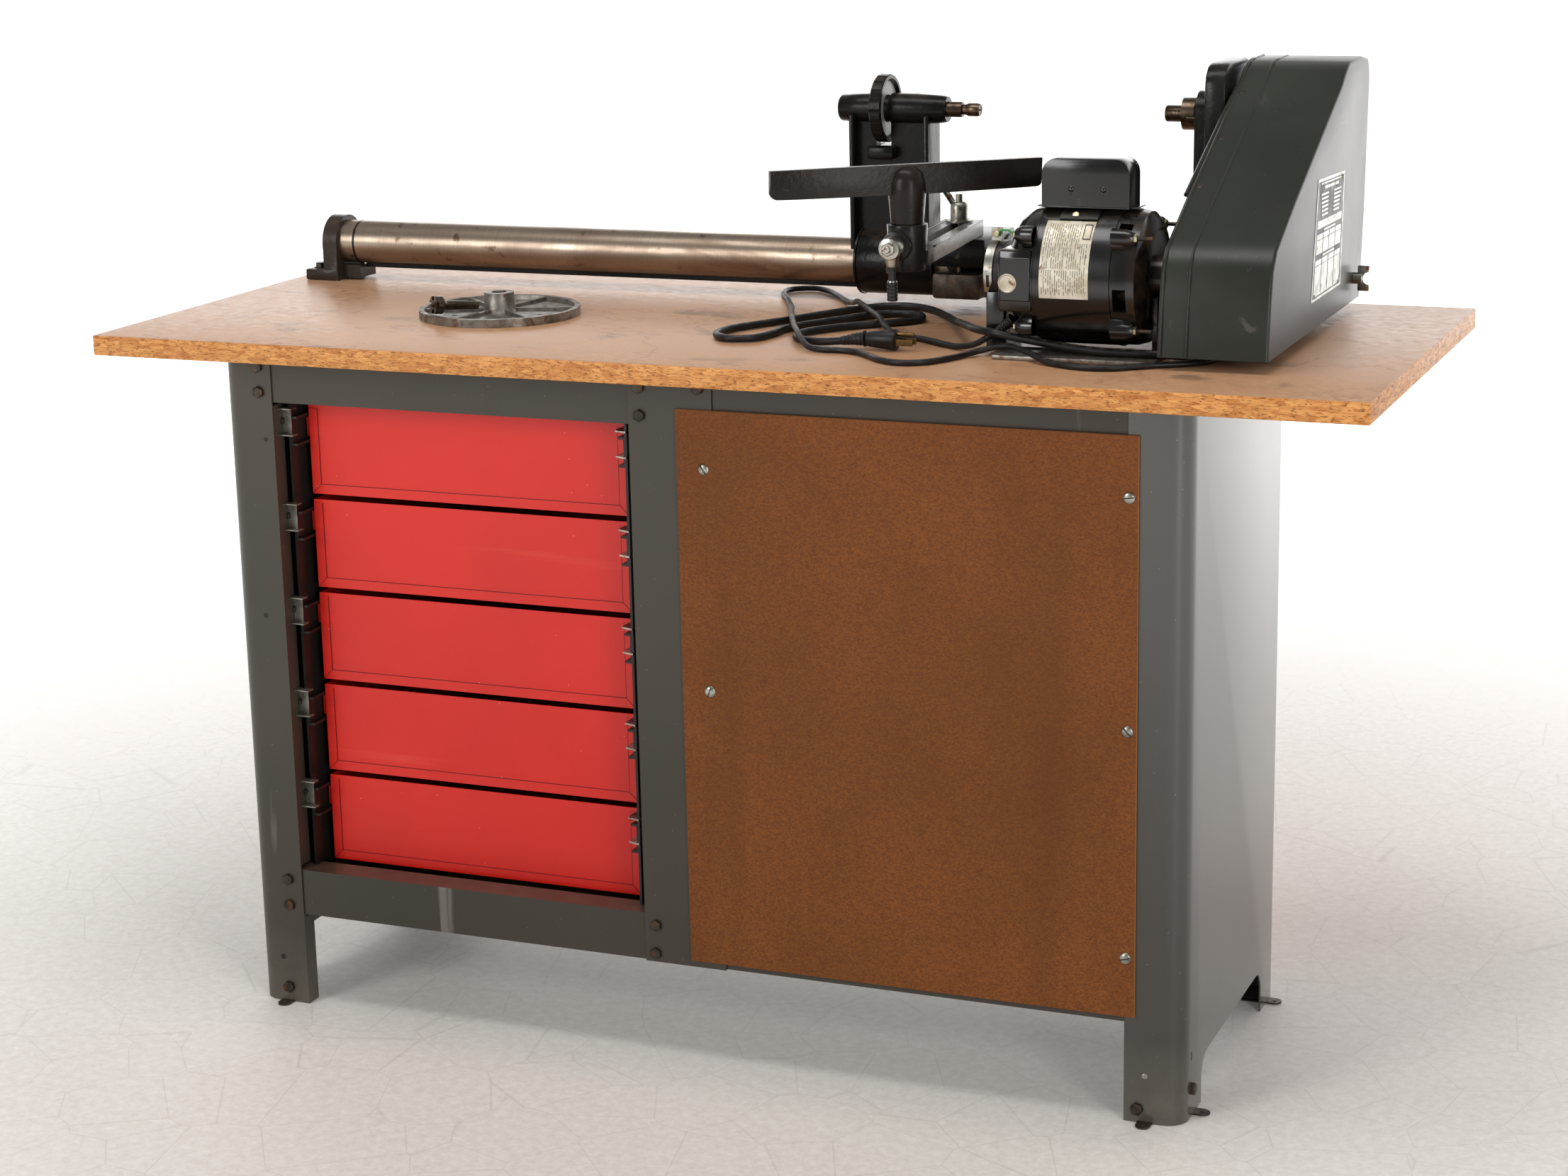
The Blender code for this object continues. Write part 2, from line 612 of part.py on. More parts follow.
def bed():
    tube = ring(
        "bed_tube", BED_BORE, BED_RADIUS, 0.0, BED_RIGHT - BED_LEFT, (BED_LEFT, BED_Y, BED_Z), "x", "bed_steel", 48
    )
    half = 0.0346
    plate_x = BED_LEFT - GAP - 0.0205
    arch = [(BED_Y - half, TOP_Z + GAP), (BED_Y + half, TOP_Z + GAP), *arc((BED_Y, BED_Z), half, 0, 180, 16)]
    foot = extruded("bed_foot", arch, plate_x, 0.0205, "x", "casting_paint")
    base = box(
        "bed_foot_base", (-0.739, BED_Y - half - 0.0006, TOP_Z + GAP), (plate_x + 0.0195, BED_Y + half + 0.0006, TOP_Z + 0.0145),
        edge=0.002,
    )
    lug = box("bed_foot_lug", (plate_x + 0.012, BED_Y - 0.020, TOP_Z + 0.003), (-0.665, BED_Y + 0.020, 0.8655))
    spigot = rod("bed_foot_spigot", (BED_LEFT - 0.005, BED_Y, BED_Z), (BED_LEFT + 0.020, BED_Y, BED_Z), 0.0231)
    join(foot, base, lug, spigot)
    return [tube, foot]


def headstock():
    """One casting: base, clamp round the bed tube, column and bearing head."""
    column = [
        (BED_Y - 0.0482, TOP_Z + GAP), (BED_Y + 0.0482, TOP_Z + GAP), (BED_Y + 0.044, 0.930),
        (BED_Y + 0.030, 1.000), *arc((BED_Y, SPINDLE_Z), 0.0275, 0, 180, 14), (BED_Y - 0.030, 1.000),
        (BED_Y - 0.044, 0.930),
    ]
    body = extruded("headstock", column, HEAD_LEFT, HEAD_RIGHT - HEAD_LEFT, "x", "casting_paint")
    near = BED_Y - 0.058
    far = BED_Y + 0.077
    top = 1.1425
    head_outline = [
        (near, 1.030), (far, 1.030), (far, top - 0.030), *arc((far - 0.030, top - 0.030), 0.030, 0, 90, 3),
        *arc((near + 0.026, top - 0.026), 0.026, 90, 180, 3),
    ]
    head = extruded("headstock_head", head_outline, HEAD_BOX_LEFT, HEAD_BOX_RIGHT - HEAD_BOX_LEFT, "x")
    bevel(head, 0.009, 2, math.radians(60))
    base = box(
        "headstock_base", (0.4400, BED_Y - 0.055, TOP_Z + GAP), (HEAD_RIGHT - 0.003, BED_Y + 0.060, TOP_Z + 0.014),
        edge=0.002,
    )
    collar = rod("headstock_collar", (HEAD_LEFT - 0.004, BED_Y, BED_Z), (0.5060, BED_Y, BED_Z), 0.0425, sides=36)
    join(body, head, base, collar)
    bed_hole = rod("bed_hole", (0.40, BED_Y, BED_Z), (0.60, BED_Y, BED_Z), BED_RADIUS + GAP, sides=40)
    seat_left = rod("seat_left", (0.44, BED_Y, SPINDLE_Z), (HEAD_LEFT + 0.0155, BED_Y, SPINDLE_Z), 0.0175)
    seat_right = rod("seat_right", (HEAD_RIGHT - 0.0155, BED_Y, SPINDLE_Z), (0.55, BED_Y, SPINDLE_Z), 0.0175)
    spindle_hole = rod("spindle_hole", (0.44, BED_Y, SPINDLE_Z), (0.55, BED_Y, SPINDLE_Z), 0.0115)
    pin_hole = rod("pin_hole", (0.44, 0.1625, 1.0775), (0.474, 0.1625, 1.0775), 0.0024, sides=16)
    return cut(body, bed_hole, seat_left, seat_right, spindle_hole, pin_hole)


def spindle_group():
    """The spindle with its nose, flange and shaft, and the stepped pulley on it."""
    origin = (NOSE_X, BED_Y, SPINDLE_Z)
    profile = [
        (0.0095, 0.2065), (0.0095, COLLAR_X + 0.0155 - NOSE_X), (0.0190, COLLAR_X + 0.0155 - NOSE_X),
        (0.0190, COLLAR_X - NOSE_X), (0.0095, COLLAR_X - NOSE_X), (0.0095, 0.0010), (0.0088, 0.0),
        (0.0060, 0.0), (0.0050, 0.050), (0.0050, 0.2065),
    ]
    spindle = turned("spindle", profile, origin, "x", "bright_steel", 24)
    pulley = stepped_pulley("spindle_pulley", 0.0098, SPINDLE_STEPS, BED_Y, SPINDLE_Z)
    bearings = [
        ring("bearing_inboard", 0.0098, 0.0172, HEAD_LEFT + 0.0030, 0.012, (0, BED_Y, SPINDLE_Z), "x", "bright_steel"),
        ring("bearing_outboard", 0.0098, 0.0172, HEAD_RIGHT - 0.0145, 0.012, (0, BED_Y, SPINDLE_Z), "x",
             "bright_steel"),
    ]
    pin = rod("index_pin", (0.4455, 0.1625, 1.0775), (0.470, 0.1625, 1.0775), 0.0020, "bright_steel", 16)
    return [spindle, pulley, pin, *bearings]


def stepped_pulley(name, bore, radii, y, z):
    """Four V grooves side by side, the first nearest the head."""
    start = PULLEY_X
    step = PULLEY_STEP
    depth = 0.0088
    outer = []
    for index, radius in enumerate(radii):
        x = start + step * index
        outer += [(radius, x), (radius, x + 0.0035), (radius - depth, x + 0.0070), (radius - depth, x + 0.0160),
                  (radius, x + 0.0195)]
        if index + 1 < len(radii):
            outer.append((radius, x + step))
    end = start + step * len(radii)
    profile = [(bore, start), *outer, (radii[-1], end), (bore, end)]
    profile.reverse()
    return turned(name, profile, (0, y, z), "x", "aluminium", 24)


def drive_belt():
    """The V belt on the first step of both pulleys."""
    centre_a = Vector((BED_Y, SPINDLE_Z))
    centre_b = Vector((MOTOR_Y, MOTOR_Z))
    x = PULLEY_X + 0.0079
    width = 0.0072
    loops = []
    for drop in (0.0004, 0.0084):
        loops.append(belt_line(centre_a, SPINDLE_STEPS[0] - drop, centre_b, MOTOR_STEPS[0] - drop))
    belt = extruded("drive_belt", loops[0], x, width, "x", "rubber")
    inside = extruded("drive_belt_inside", loops[1], x - 0.01, width + 0.02, "x")
    return cut(belt, inside)


def belt_line(centre_a, radius_a, centre_b, radius_b):
    """The outline of a band pulled tight round two circles."""
    run = centre_b - centre_a
    heading = math.degrees(math.atan2(run.y, run.x))
    lean = math.degrees(math.acos((radius_a - radius_b) / run.length))
    first = arc(centre_a, radius_a, heading + lean, heading + 360 - lean, 20)
    second = arc(centre_b, radius_b, heading - lean, heading + lean, 14)
    return first + second


def guard_outline(inset=0.0):
    """The belt guard's outline as (Y, Z), shrunk by an inset on every side but the bottom."""
    count = len(GUARD_SHAPE)
    points = []
    for index, point in enumerate(GUARD_SHAPE):
        here = Vector(point)
        into = (here - Vector(GUARD_SHAPE[index - 1])).normalized()
        out = (Vector(GUARD_SHAPE[(index + 1) % count]) - here).normalized()
        inward = Vector((-into.y - out.y, into.x + out.x)).normalized()
        spread = max(0.5, inward.dot(Vector((-into.y, into.x))))
        points.append(tuple(here + inward * inset / spread))
    return points


def belt_guard():
    """The cover, the plate behind it with its post, the hinge and the wing screw."""
    depth = GUARD_RIGHT - GUARD_LEFT
    origin = (HINGE_LOW + HINGE_HIGH) / 2
    post_y = 0.2365
    post_z = 0.8872
    cover = extruded("belt_cover", guard_outline(), GUARD_LEFT - 0.02, depth + 0.02, "x", "guard_paint", origin)
    bevel(cover, 0.013, 3, math.radians(60))
    hollow = extruded("belt_cover_hollow", guard_outline(0.002), GUARD_LEFT - 0.03, depth + 0.028, "x")
    bevel(hollow, 0.011, 2, math.radians(60))
    trim = box("belt_cover_trim", (0.45, -0.30, 0.80), (0.70, 0.40, GUARD_BOTTOM))
    ends = box("belt_cover_ends", (0.45, -0.30, 0.80), (GUARD_LEFT, 0.40, 1.20))
    screw_hole = rod("screw_hole", (0.60, post_y, post_z), (0.68, post_y, post_z), 0.0042, sides=20)
    cut(cover, hollow, trim, ends, screw_hole)
    plate = extruded("guard_back", guard_outline(0.0045), GUARD_LEFT, 0.0020, "x", "guard_paint")
    lift = box("guard_back_lift", (0.45, -0.40, 0.80), (0.56, 0.40, 0.8650))
    shaft_hole = rod("shaft_hole", (0.45, MOTOR_Y, MOTOR_Z), (0.55, MOTOR_Y, MOTOR_Z), 0.020)
    spindle_hole = rod("guard_spindle_hole", (0.45, BED_Y, SPINDLE_Z), (0.55, BED_Y, SPINDLE_Z), 0.0150)
    post = rod("guard_back_post", (GUARD_LEFT + 0.001, post_y, post_z), (0.6100, post_y, post_z), 0.0055, sides=20)
    cut(plate, lift, shaft_hole, spindle_hole)
    join(plate, post)
    hinge = rod("cover_hinge", HINGE_LOW, HINGE_HIGH, 0.0026, "guard_paint", 12)
    screw = rod("wing_screw", (0.6103, post_y, post_z), (0.6350, post_y, post_z), 0.0036, "zinc", 20)
    boss = rod("wing_screw_boss", (0.6294, post_y, post_z), (0.6400, post_y, post_z), 0.0068, sides=24)
    wings = box(
        "wing_screw_wings", (0.6345, post_y - 0.0020, post_z - 0.0150), (0.6480, post_y + 0.0020, post_z + 0.0150),
        edge=0.0012,
    )
    gap = rod("wing_screw_gap", (0.6480, post_y - 0.01, post_z), (0.6480, post_y + 0.01, post_z), 0.0075, sides=24)
    cut(wings, gap)
    join(screw, boss, wings)
    return [cover, plate, hinge, screw]


def motor():
    axis = (0, MOTOR_Y, MOTOR_Z)
    shell = ring("motor_shell", MOTOR_RADIUS - MOTOR_WALL, MOTOR_RADIUS, 0.3653, 0.0859, axis, "x", "motor_paint", 44)
    left = turned("motor_bell_left", [
        (0.0083, 0.2950), (0.0220, 0.2950), (0.0220, 0.3234), (0.0420, 0.3270), (0.0550, 0.3320),
        (0.0660, 0.3400), (0.0730, 0.3520), (0.0752, 0.3650), (0.0727, 0.3650), (0.0705, 0.3540),
        (0.0640, 0.3430), (0.0530, 0.3352), (0.0410, 0.3305), (0.0180, 0.3280), (0.0180, 0.3450),
        (0.0083, 0.3450),
    ][::-1], axis, "x", "motor_paint", 30)
    terminal_box = box("terminal_box", (0.3262, -0.1795, 0.9000), (0.3649, -0.1150, 0.9680), edge=0.004)
    room = rod("terminal_room", (0.3440, MOTOR_Y, MOTOR_Z), (0.3800, MOTOR_Y, MOTOR_Z), 0.0665, sides=40)
    cut(terminal_box, room)
    join(left, terminal_box)
    right = turned("motor_bell_right", [
        (0.0752, 0.4515), (0.0749, 0.4680), (0.0718, 0.4785), (0.0630, 0.4845), (0.0420, 0.4872),
        (0.0250, 0.4872), (0.0250, 0.4956), (0.0083, 0.4956), (0.0083, 0.4720), (0.0180, 0.4720),
        (0.0180, 0.4835), (0.0400, 0.4835), (0.0605, 0.4810), (0.0680, 0.4765), (0.0719, 0.4675),
        (0.0722, 0.4515),
    ], axis, "x", "motor_paint", 30)
    vents = []
    for turn in range(13, 360, 60):
        a = math.radians(turn)
        outward = Vector((0, math.cos(a), math.sin(a)))
        start = Vector((0.4628, MOTOR_Y, MOTOR_Z)) + outward * 0.050
        vents.append(vent_cutter(f"vent_{turn}", start, a))
    cut(right, *vents)
    cap_outline = rounded_box_outline((0.3625, 0.9800), (0.4615, 1.0630), 0.017)
    cap = extruded("capacitor_cover", cap_outline, -0.1340, 0.0430, "y", "motor_paint")
    cap_room = extruded(
        "capacitor_room", rounded_box_outline((0.3645, 0.9500), (0.4595, 1.0610), 0.015), -0.1320, 0.0390, "y"
    )
    bevel(cap_room, 0.005, 2, math.radians(60))
    saddle = box("capacitor_saddle", (0.30, -0.20, 0.90), (0.60, 0.0, CAPACITOR_BOTTOM))
    cut(bevel(cap, 0.007, 2, math.radians(60)), cap_room, saddle)
    rotor = turned("motor_rotor", [
        (0.0, 0.3000), (0.0080, 0.3000), (0.0080, 0.3950), (0.0340, 0.3950), (0.0340, 0.4400),
        (0.0080, 0.4400), (0.0080, 0.6180), (0.0, 0.6180),
    ][::-1], axis, "x", "bright_steel", 20)
    stator = ring("motor_stator", 0.0350, MOTOR_RADIUS - MOTOR_WALL - 0.0006, 0.3850, 0.0600, axis, "x", "grey_iron", 22)
    pulley = stepped_pulley("motor_pulley", 0.0083, MOTOR_STEPS, MOTOR_Y, MOTOR_Z)
    rubber_ring = ring("motor_ring", 0.0223, 0.0350, 0.2970, 0.0190, axis, "x", "rubber", 28)
    plate = box("motor_plate", (0.3180, -0.1750, TOP_Z + GAP), (0.5000, -0.0300, 0.8513), "grey_iron", edge=0.001)
    return [shell, left, right, cap, rotor, stator, pulley, rubber_ring, plate, motor_cradle()]


def vent_cutter(name, start, turn):
    """A slot through the end bell, pointing outward from the motor's axis."""
    bm = bmesh.new()
    size = Matrix.Diagonal((0.0145, 0.030, 0.026, 1.0))
    place = Matrix.Rotation(turn, 4, "X") @ Matrix.Translation((0, 0.015, 0)) @ size
    bmesh.ops.create_cube(bm, size=1.0, matrix=place)
    return add(name, mesh_from(bm, name), start)


def motor_cradle():
    """The stamped cradle that holds the motor by its two hubs."""
    cradle = box("motor_cradle", (0.3000, -0.1280, 0.8516), (0.4950, -0.0600, 0.8536), "motor_paint")
    left_arm = box("cradle_arm_left", (0.2995, -0.1380, 0.8516), (0.3205, -0.0720, 0.9150), edge=0.002)
    right_arm = box("cradle_arm_right", (0.4885, -0.1380, 0.8516), (0.4952, -0.0720, 0.9150), edge=0.0015)
    join(cradle, left_arm, right_arm)
    left_notch = rod("cradle_notch_left", (0.29, MOTOR_Y, MOTOR_Z), (0.33, MOTOR_Y, MOTOR_Z), 0.0353, sides=40)
    right_notch = rod("cradle_notch_right", (0.48, MOTOR_Y, MOTOR_Z), (0.50, MOTOR_Y, MOTOR_Z), 0.0253, sides=40)
    return cut(cradle, left_notch, right_notch)


def tailstock():
    """One casting: clamp round the bed, flanged column and the barrel, slotted for the handwheel."""
    half = (TAIL_RIGHT - TAIL_LEFT) / 2
    barrel = turned("tailstock", [
        (0.0, 0.0), (0.0140, 0.0), (0.0160, 0.0025), (0.0175, 0.030), (0.0186, half), (0.0184, half + 0.030),
        (0.0165, 2 * half - 0.006), (0.0150, 2 * half), (0.0, 2 * half),
    ][::-1], (TAIL_LEFT, BED_Y, SPINDLE_Z), "x", "casting_paint", 28)
    web = box("tail_web", (0.0280, 0.1775, 0.9100), (0.1240, 0.1925, 1.0800))
    left_flange = box("tail_flange_left", (0.0250, 0.1625, 0.9000), (0.0310, 0.2075, 1.0740), edge=0.0015)
    right_flange = box("tail_flange_right", (0.1205, 0.1625, 0.9000), (0.1270, 0.2075, 1.0740), edge=0.0015)
    shelf = box("tail_shelf", (0.0480, 0.1600, 1.0210), (0.0830, 0.2100, 1.0370), edge=0.004)
    clamp = rod("tail_clamp", (0.0345, BED_Y, BED_Z), (0.1360, BED_Y, BED_Z), CLAMP_RADIUS, sides=36, edge=0.004)
    join(barrel, web, left_flange, right_flange, shelf, clamp)
    bed_hole = rod("tail_bed_hole", (-0.02, BED_Y, BED_Z), (0.20, BED_Y, BED_Z), BED_RADIUS + GAP, sides=40)
    slot = box("tail_slot", (WHEEL_X - 0.0095, 0.10, 1.0365), (WHEEL_X + 0.0095, 0.27, 1.15))
    bore = rod("tail_bore", (0.0150, BED_Y, SPINDLE_Z), (0.20, BED_Y, SPINDLE_Z), 0.0095)
    return cut(barrel, bed_hole, slot, bore)


def tailstock_group():
    body = tailstock()
    rim = WHEEL_RADIUS
    half = WHEEL_WIDTH / 2
    wheel = turned("handwheel", [
        (0.0098, half), (0.0150, half), (0.0170, 0.003), (rim - 0.008, 0.003), (rim - 0.005, half),
        (rim - 0.001, half), (rim, half - 0.001), (rim, 0.001 - half), (rim - 0.001, -half),
        (rim - 0.005, -half), (rim - 0.008, -0.003), (0.0170, -0.003), (0.0150, -half), (0.0098, -half),
    ][::-1], (WHEEL_X, BED_Y, SPINDLE_Z), "x", "casting_paint", 32)
    for index in range(20):
        a = 2 * math.pi * index / 20
        spot = Vector((WHEEL_X - 0.02, BED_Y + (rim + 0.0022) * math.cos(a), SPINDLE_Z + (rim + 0.0022) * math.sin(a)))
        cut(wheel, rod(f"wheel_flute_{index}", spot, spot + Vector((0.04, 0, 0)), 0.0035, sides=8))
    quill = turned("quill", [
        (0.0, 0.0), (0.0092, 0.0), (0.0092, 0.1465), (0.0085, 0.1480), (0.0062, 0.1480), (0.0062, 0.1300), (0.0, 0.1300),
    ][::-1], (0.0160, BED_Y, SPINDLE_Z), "x", "bronze", 32)
    centre = turned("cup_centre", [
        (0.0, 0.1465), (0.0059, 0.1465), (0.0059, 0.1650), (0.0066, 0.1680), (0.0066, 0.1690), (0.0080, 0.1715),
        (0.0080, 0.1830), (0.0068, 0.1860), (0.0040, 0.1850), (0.0012, 0.1850), (0.0, 0.1885),
    ][::-1], (0.0, BED_Y, SPINDLE_Z), "x", "bronze", 20)
    return [body, wheel, quill, centre]


def tool_rest_group():
    """The base on the bed, its jaw and stud, the slotted arm, the rest and both clamp levers."""
    base = rod("rest_base", (0.1550, BED_Y, BED_Z), (0.2255, BED_Y, BED_Z), 0.0400, "casting_paint", 36, edge=0.003)
    pad = box("rest_base_pad", (0.1580, 0.0880, 0.9050), (0.2225, 0.2050, ARM_BOTTOM - GAP), edge=0.002)
    join(base, pad)
    bed_hole = rod("rest_bed_hole", (0.10, BED_Y, BED_Z), (0.30, BED_Y, BED_Z), BED_RADIUS + GAP, sides=40)
    stud_hole = rod("stud_hole", (STUD.x, STUD.y, 0.85), (STUD.x, STUD.y, 1.0), 0.0052, sides=20)
    cut(base, bed_hole, stud_hole)
    jaw = box("rest_jaw", (0.1555, 0.0900, 0.8660), (0.2155, 0.1420, 0.8965), "brown_steel", edge=0.004)
    jaw_hole = rod("jaw_hole", (STUD.x, STUD.y, 0.85), (STUD.x, STUD.y, 0.92), 0.0050, sides=20)
    hug = rod("jaw_hug", (0.10, BED_Y, BED_Z), (0.30, BED_Y, BED_Z), 0.0406, sides=48)
    cut(jaw, jaw_hole, hug)
    stud = rod("rest_stud", (STUD.x, STUD.y, 0.8680), (STUD.x, STUD.y, 0.9560), 0.0046, "bright_steel", 20)
    nut = turned("rest_nut", [
        (0.0, 0.0330), (0.0042, 0.0330), (0.0042, 0.0240), (0.0070, 0.0235), (0.0095, 0.0215), (0.0105, 0.0185),
        (0.0105, 0.0025), (0.0165, 0.0020), (0.0165, 0.0), (0.0, 0.0),
    ][::-1], (STUD.x, STUD.y, 0.9563), "z", "zinc", 20)
    return [base, jaw, stud, nut, *arm_group(), rest_clamp_lever()]


def holder_place():
    return Vector((STUD.x + ARM_LENGTH * math.sin(ARM_TURN), STUD.y - ARM_LENGTH * math.cos(ARM_TURN), 0.0))


def arm_group():
    holder = holder_place()
    local = Matrix.Translation((STUD.x, STUD.y, 0)) @ Matrix.Rotation(ARM_TURN, 4, "Z")
    half = ARM_WIDTH / 2
    far = 0.030
    outline = [(-half, -ARM_LENGTH), (half, -ARM_LENGTH), *arc((half - 0.010, far - 0.010), 0.010, 0, 90, 4),
               *arc((-half + 0.010, far - 0.010), 0.010, 90, 180, 4)]
    slot_half = 0.0073
    slot = [*arc((0, 0.004), slot_half, 0, 180, 8), *arc((0, -0.155), slot_half, 180, 360, 8)]
    arm = extruded("rest_arm", outline, ARM_BOTTOM, ARM_TOP - ARM_BOTTOM, "z", "casting_paint")
    slot_cutter = extruded("rest_arm_slot", slot, 0.90, 0.10, "z")
    for obj in (arm, slot_cutter):
        obj.data.transform(Matrix.Rotation(ARM_TURN, 4, "Z"))
        obj.matrix_world = Matrix.Translation(local.translation)
    socket = rod(
        "rest_socket", (holder.x, holder.y, 0.9330), (holder.x, holder.y, 0.9850), 0.0205, sides=28,
        end_radius=0.0232, edge=0.002,
    )
    boss = rod(
        "rest_boss", (holder.x - 0.004, holder.y, 0.9625), (holder.x - 0.004, holder.y - 0.0290, 0.9625), 0.0165, sides=24,
        edge=0.0015,
    )
    brace = rod(
        "rest_brace", (holder.x, holder.y, 0.9550),
        (holder.x - 0.060 * math.sin(ARM_TURN), holder.y + 0.060 * math.cos(ARM_TURN), 0.9520), 0.0200,
        sides=24, end_radius=0.0040,
    )
    join(arm, socket, boss, brace)
    below = box("rest_arm_below", (0.0, -0.2, 0.90), (0.4, holder.y + 0.10, 0.9329))
    post_hole = rod("post_hole", (holder.x, holder.y, 0.9400), (holder.x, holder.y, 1.00), 0.0128, sides=32)
    screw_hole = rod(
        "lever_hole", (holder.x - 0.004, holder.y - 0.010, 0.9625), (holder.x - 0.004, holder.y - 0.040, 0.9625),
        0.0045, sides=20,
    )
    cut(arm, slot_cutter, below, post_hole, screw_hole)
    post = rod("rest_post", (holder.x, holder.y, 0.9405), (holder.x, holder.y, 1.0090), 0.0125, "bright_steel")
    return [arm, post, tool_rest(holder), rest_lever(holder)]


def tool_rest(holder):
    """The rest's bar, tapered to both ends, on its conical neck."""
    half = REST_LENGTH / 2
    foot = REST_TOP - 0.0335
    bar_outline = [
        (-half, REST_TOP), (-half, REST_TOP - 0.026), *arc((-half + 0.007, REST_TOP - 0.026), 0.006, 200, 270, 3),
        (-half + 0.030, foot + 0.001), (-0.030, foot), (0.030, foot), (half - 0.030, foot + 0.001),
        *arc((half - 0.007, REST_TOP - 0.026), 0.006, 270, 340, 3), (half, REST_TOP),
    ]
    bar = extruded("tool_rest", bar_outline, -0.0055, 0.0110, "y", "casting_paint")
    bar.data.transform(Matrix.Rotation(REST_TURN, 4, "Z"))
    bar.location = (holder.x, holder.y, 0)
    bevel(bar, 0.002)
    neck = turned("tool_rest_neck", [
        (0.0, REST_TOP - 0.002), (0.0100, REST_TOP - 0.003), (0.0172, REST_TOP - 0.009), (0.0205, REST_TOP - 0.020),
        (0.0212, 1.0180), (0.0186, 0.9860), (0.0, 0.9860),
    ], (holder.x, holder.y, 0), "z", sides=24)
    join(bar, neck)
    socket = rod("tool_rest_socket", (holder.x, holder.y, 0.97), (holder.x, holder.y, 1.0094), 0.0128, sides=32)
    return cut(bar, socket)


def rest_lever(holder):
    """The lever that locks the rest's post: a hub on a screw, with a fluted grip hanging from it."""
    x = holder.x - 0.004
    hub_start = holder.y - 0.0293
    z = 0.9625
    hub = rod("rest_lever", (x, hub_start, z), (x, hub_start - 0.022, z), 0.0125, "zinc", 24, edge=0.002)
    y = hub_start - 0.011
    neck = rod("rest_lever_neck", (x, y, z), (x, y, 0.9420), 0.0105, sides=24, end_radius=0.0062)
    arm = rod("rest_lever_arm", (x, y, 0.9440), (x, y, 0.9260), 0.0036, sides=16)
    grip = rod("rest_lever_grip", (x, y, 0.9270), (x, y, 0.9040), 0.0055, sides=16, edge=0.0015)
    screw = rod("rest_lever_screw", (x, holder.y - 0.0145, z), (x, hub_start - 0.002, z), 0.0040, sides=16)
    return join(hub, neck, arm, grip, screw)


def rest_clamp_lever():
    """The operator side's lever that locks the base on the bed."""
    hub_y = BED_Y + 0.0405
    hub = (0.1760, hub_y, 0.9020)
    lever = rod("rest_clamp_lever", hub, (0.1760, hub_y + 0.016, 0.9020), 0.0115, "zinc", 28, edge=0.0015)
    handle = rod(
        "rest_clamp_handle", (0.1760, hub_y + 0.009, 0.9020), (0.1120, hub_y + 0.0125, 0.9900), 0.0040, sides=16
    )
    return join(lever, handle)


def faceplate():
    """A ribbed faceplate lying on its face, hub up."""
    centre = (-0.3536, -0.0426, TOP_Z + GAP)
    plate = turned("faceplate", [
        (0.0095, 0.0), (0.0980, 0.0), (0.0980, 0.0098), (0.0915, 0.0098), (0.0905, 0.0045), (0.0220, 0.0050),
        (0.0190, 0.0100), (0.0180, 0.0282), (0.0095, 0.0282),
    ][::-1], centre, "z", "grey_iron", 32)
    for index in range(6):
        a = math.radians(60 * index + 20)
        rib = box(f"faceplate_rib_{index}", (0.0150, -0.0022, 0.0030), (0.0900, 0.0022, 0.0085))
        rib.data.transform(Matrix.Rotation(a, 4, "Z") @ Matrix.Translation(rib.location))
        rib.location = centre
        join(plate, rib)
        b = a + math.radians(30)
        hole = rod(
            f"faceplate_hole_{index}", (centre[0] + 0.060 * math.cos(b), centre[1] + 0.060 * math.sin(b), 0.84),
            (centre[0] + 0.060 * math.cos(b), centre[1] + 0.060 * math.sin(b), 0.87), 0.0028, sides=12,
        )
        cut(plate, hole)
    return plate


def spur_centre():
    """A drive centre with four spurs and a taper shank, lying across the faceplate's rim."""
    head = Vector((-0.4075, -0.1180, 0.8678))
    heading = Vector((0.618, 0.786, -0.10)).normalized()
    spur = turned("spur_centre", [
        (0.0, -0.0020), (0.0012, 0.0010), (0.0030, 0.0035), (0.0110, 0.0035), (0.0110, 0.0140), (0.0075, 0.0175),
        (0.0062, 0.0200), (0.0048, 0.0620), (0.0, 0.0620),
    ][::-1], head, heading, "bronze", 20)
    frame = along(heading)
    for index in range(4):
        bm = bmesh.new()
        size = Matrix.Diagonal((0.0060, 0.0060, 0.0070, 1.0))
        turn = Matrix.Rotation(math.radians(90 * index + 45), 4, "Z")
        bmesh.ops.create_cube(bm, size=1.0, matrix=frame @ turn @ Matrix.Translation((0.0085, 0, 0.0035)) @ size)
        cut(spur, add(f"spur_notch_{index}", mesh_from(bm, "spur_notch"), head))
    return spur


def switch():
    """The switch box on the operator side of the headstock, with its rocker."""
    y = BED_Y + 0.077 + GAP
    x = SWITCH_X
    case = box("switch_box", (x - 0.0195, y, 1.0350), (x + 0.0195, y + 0.030, 1.1050), "motor_paint", edge=0.002)
    cut(case, box("switch_window", (x - 0.0085, y + 0.018, 1.0540), (x + 0.0085, y + 0.040, 1.0860)))
    pivot = (x, y + 0.026, 1.0700)
    rocker = box(
        "switch_rocker", (x - 0.0078, y + 0.0190, 1.0547), (x + 0.0078, y + 0.0345, 1.0853), "switch_red", origin=pivot,
    )
    ends = (box("rocker_low", (x - 0.02, y + 0.010, 1.0400), (x + 0.02, y + 0.0245, 1.0640)),
            box("rocker_high", (x - 0.02, y + 0.010, 1.0760), (x + 0.02, y + 0.0245, 1.1000)))
    cut(rocker, *ends)
    return [case, rocker]


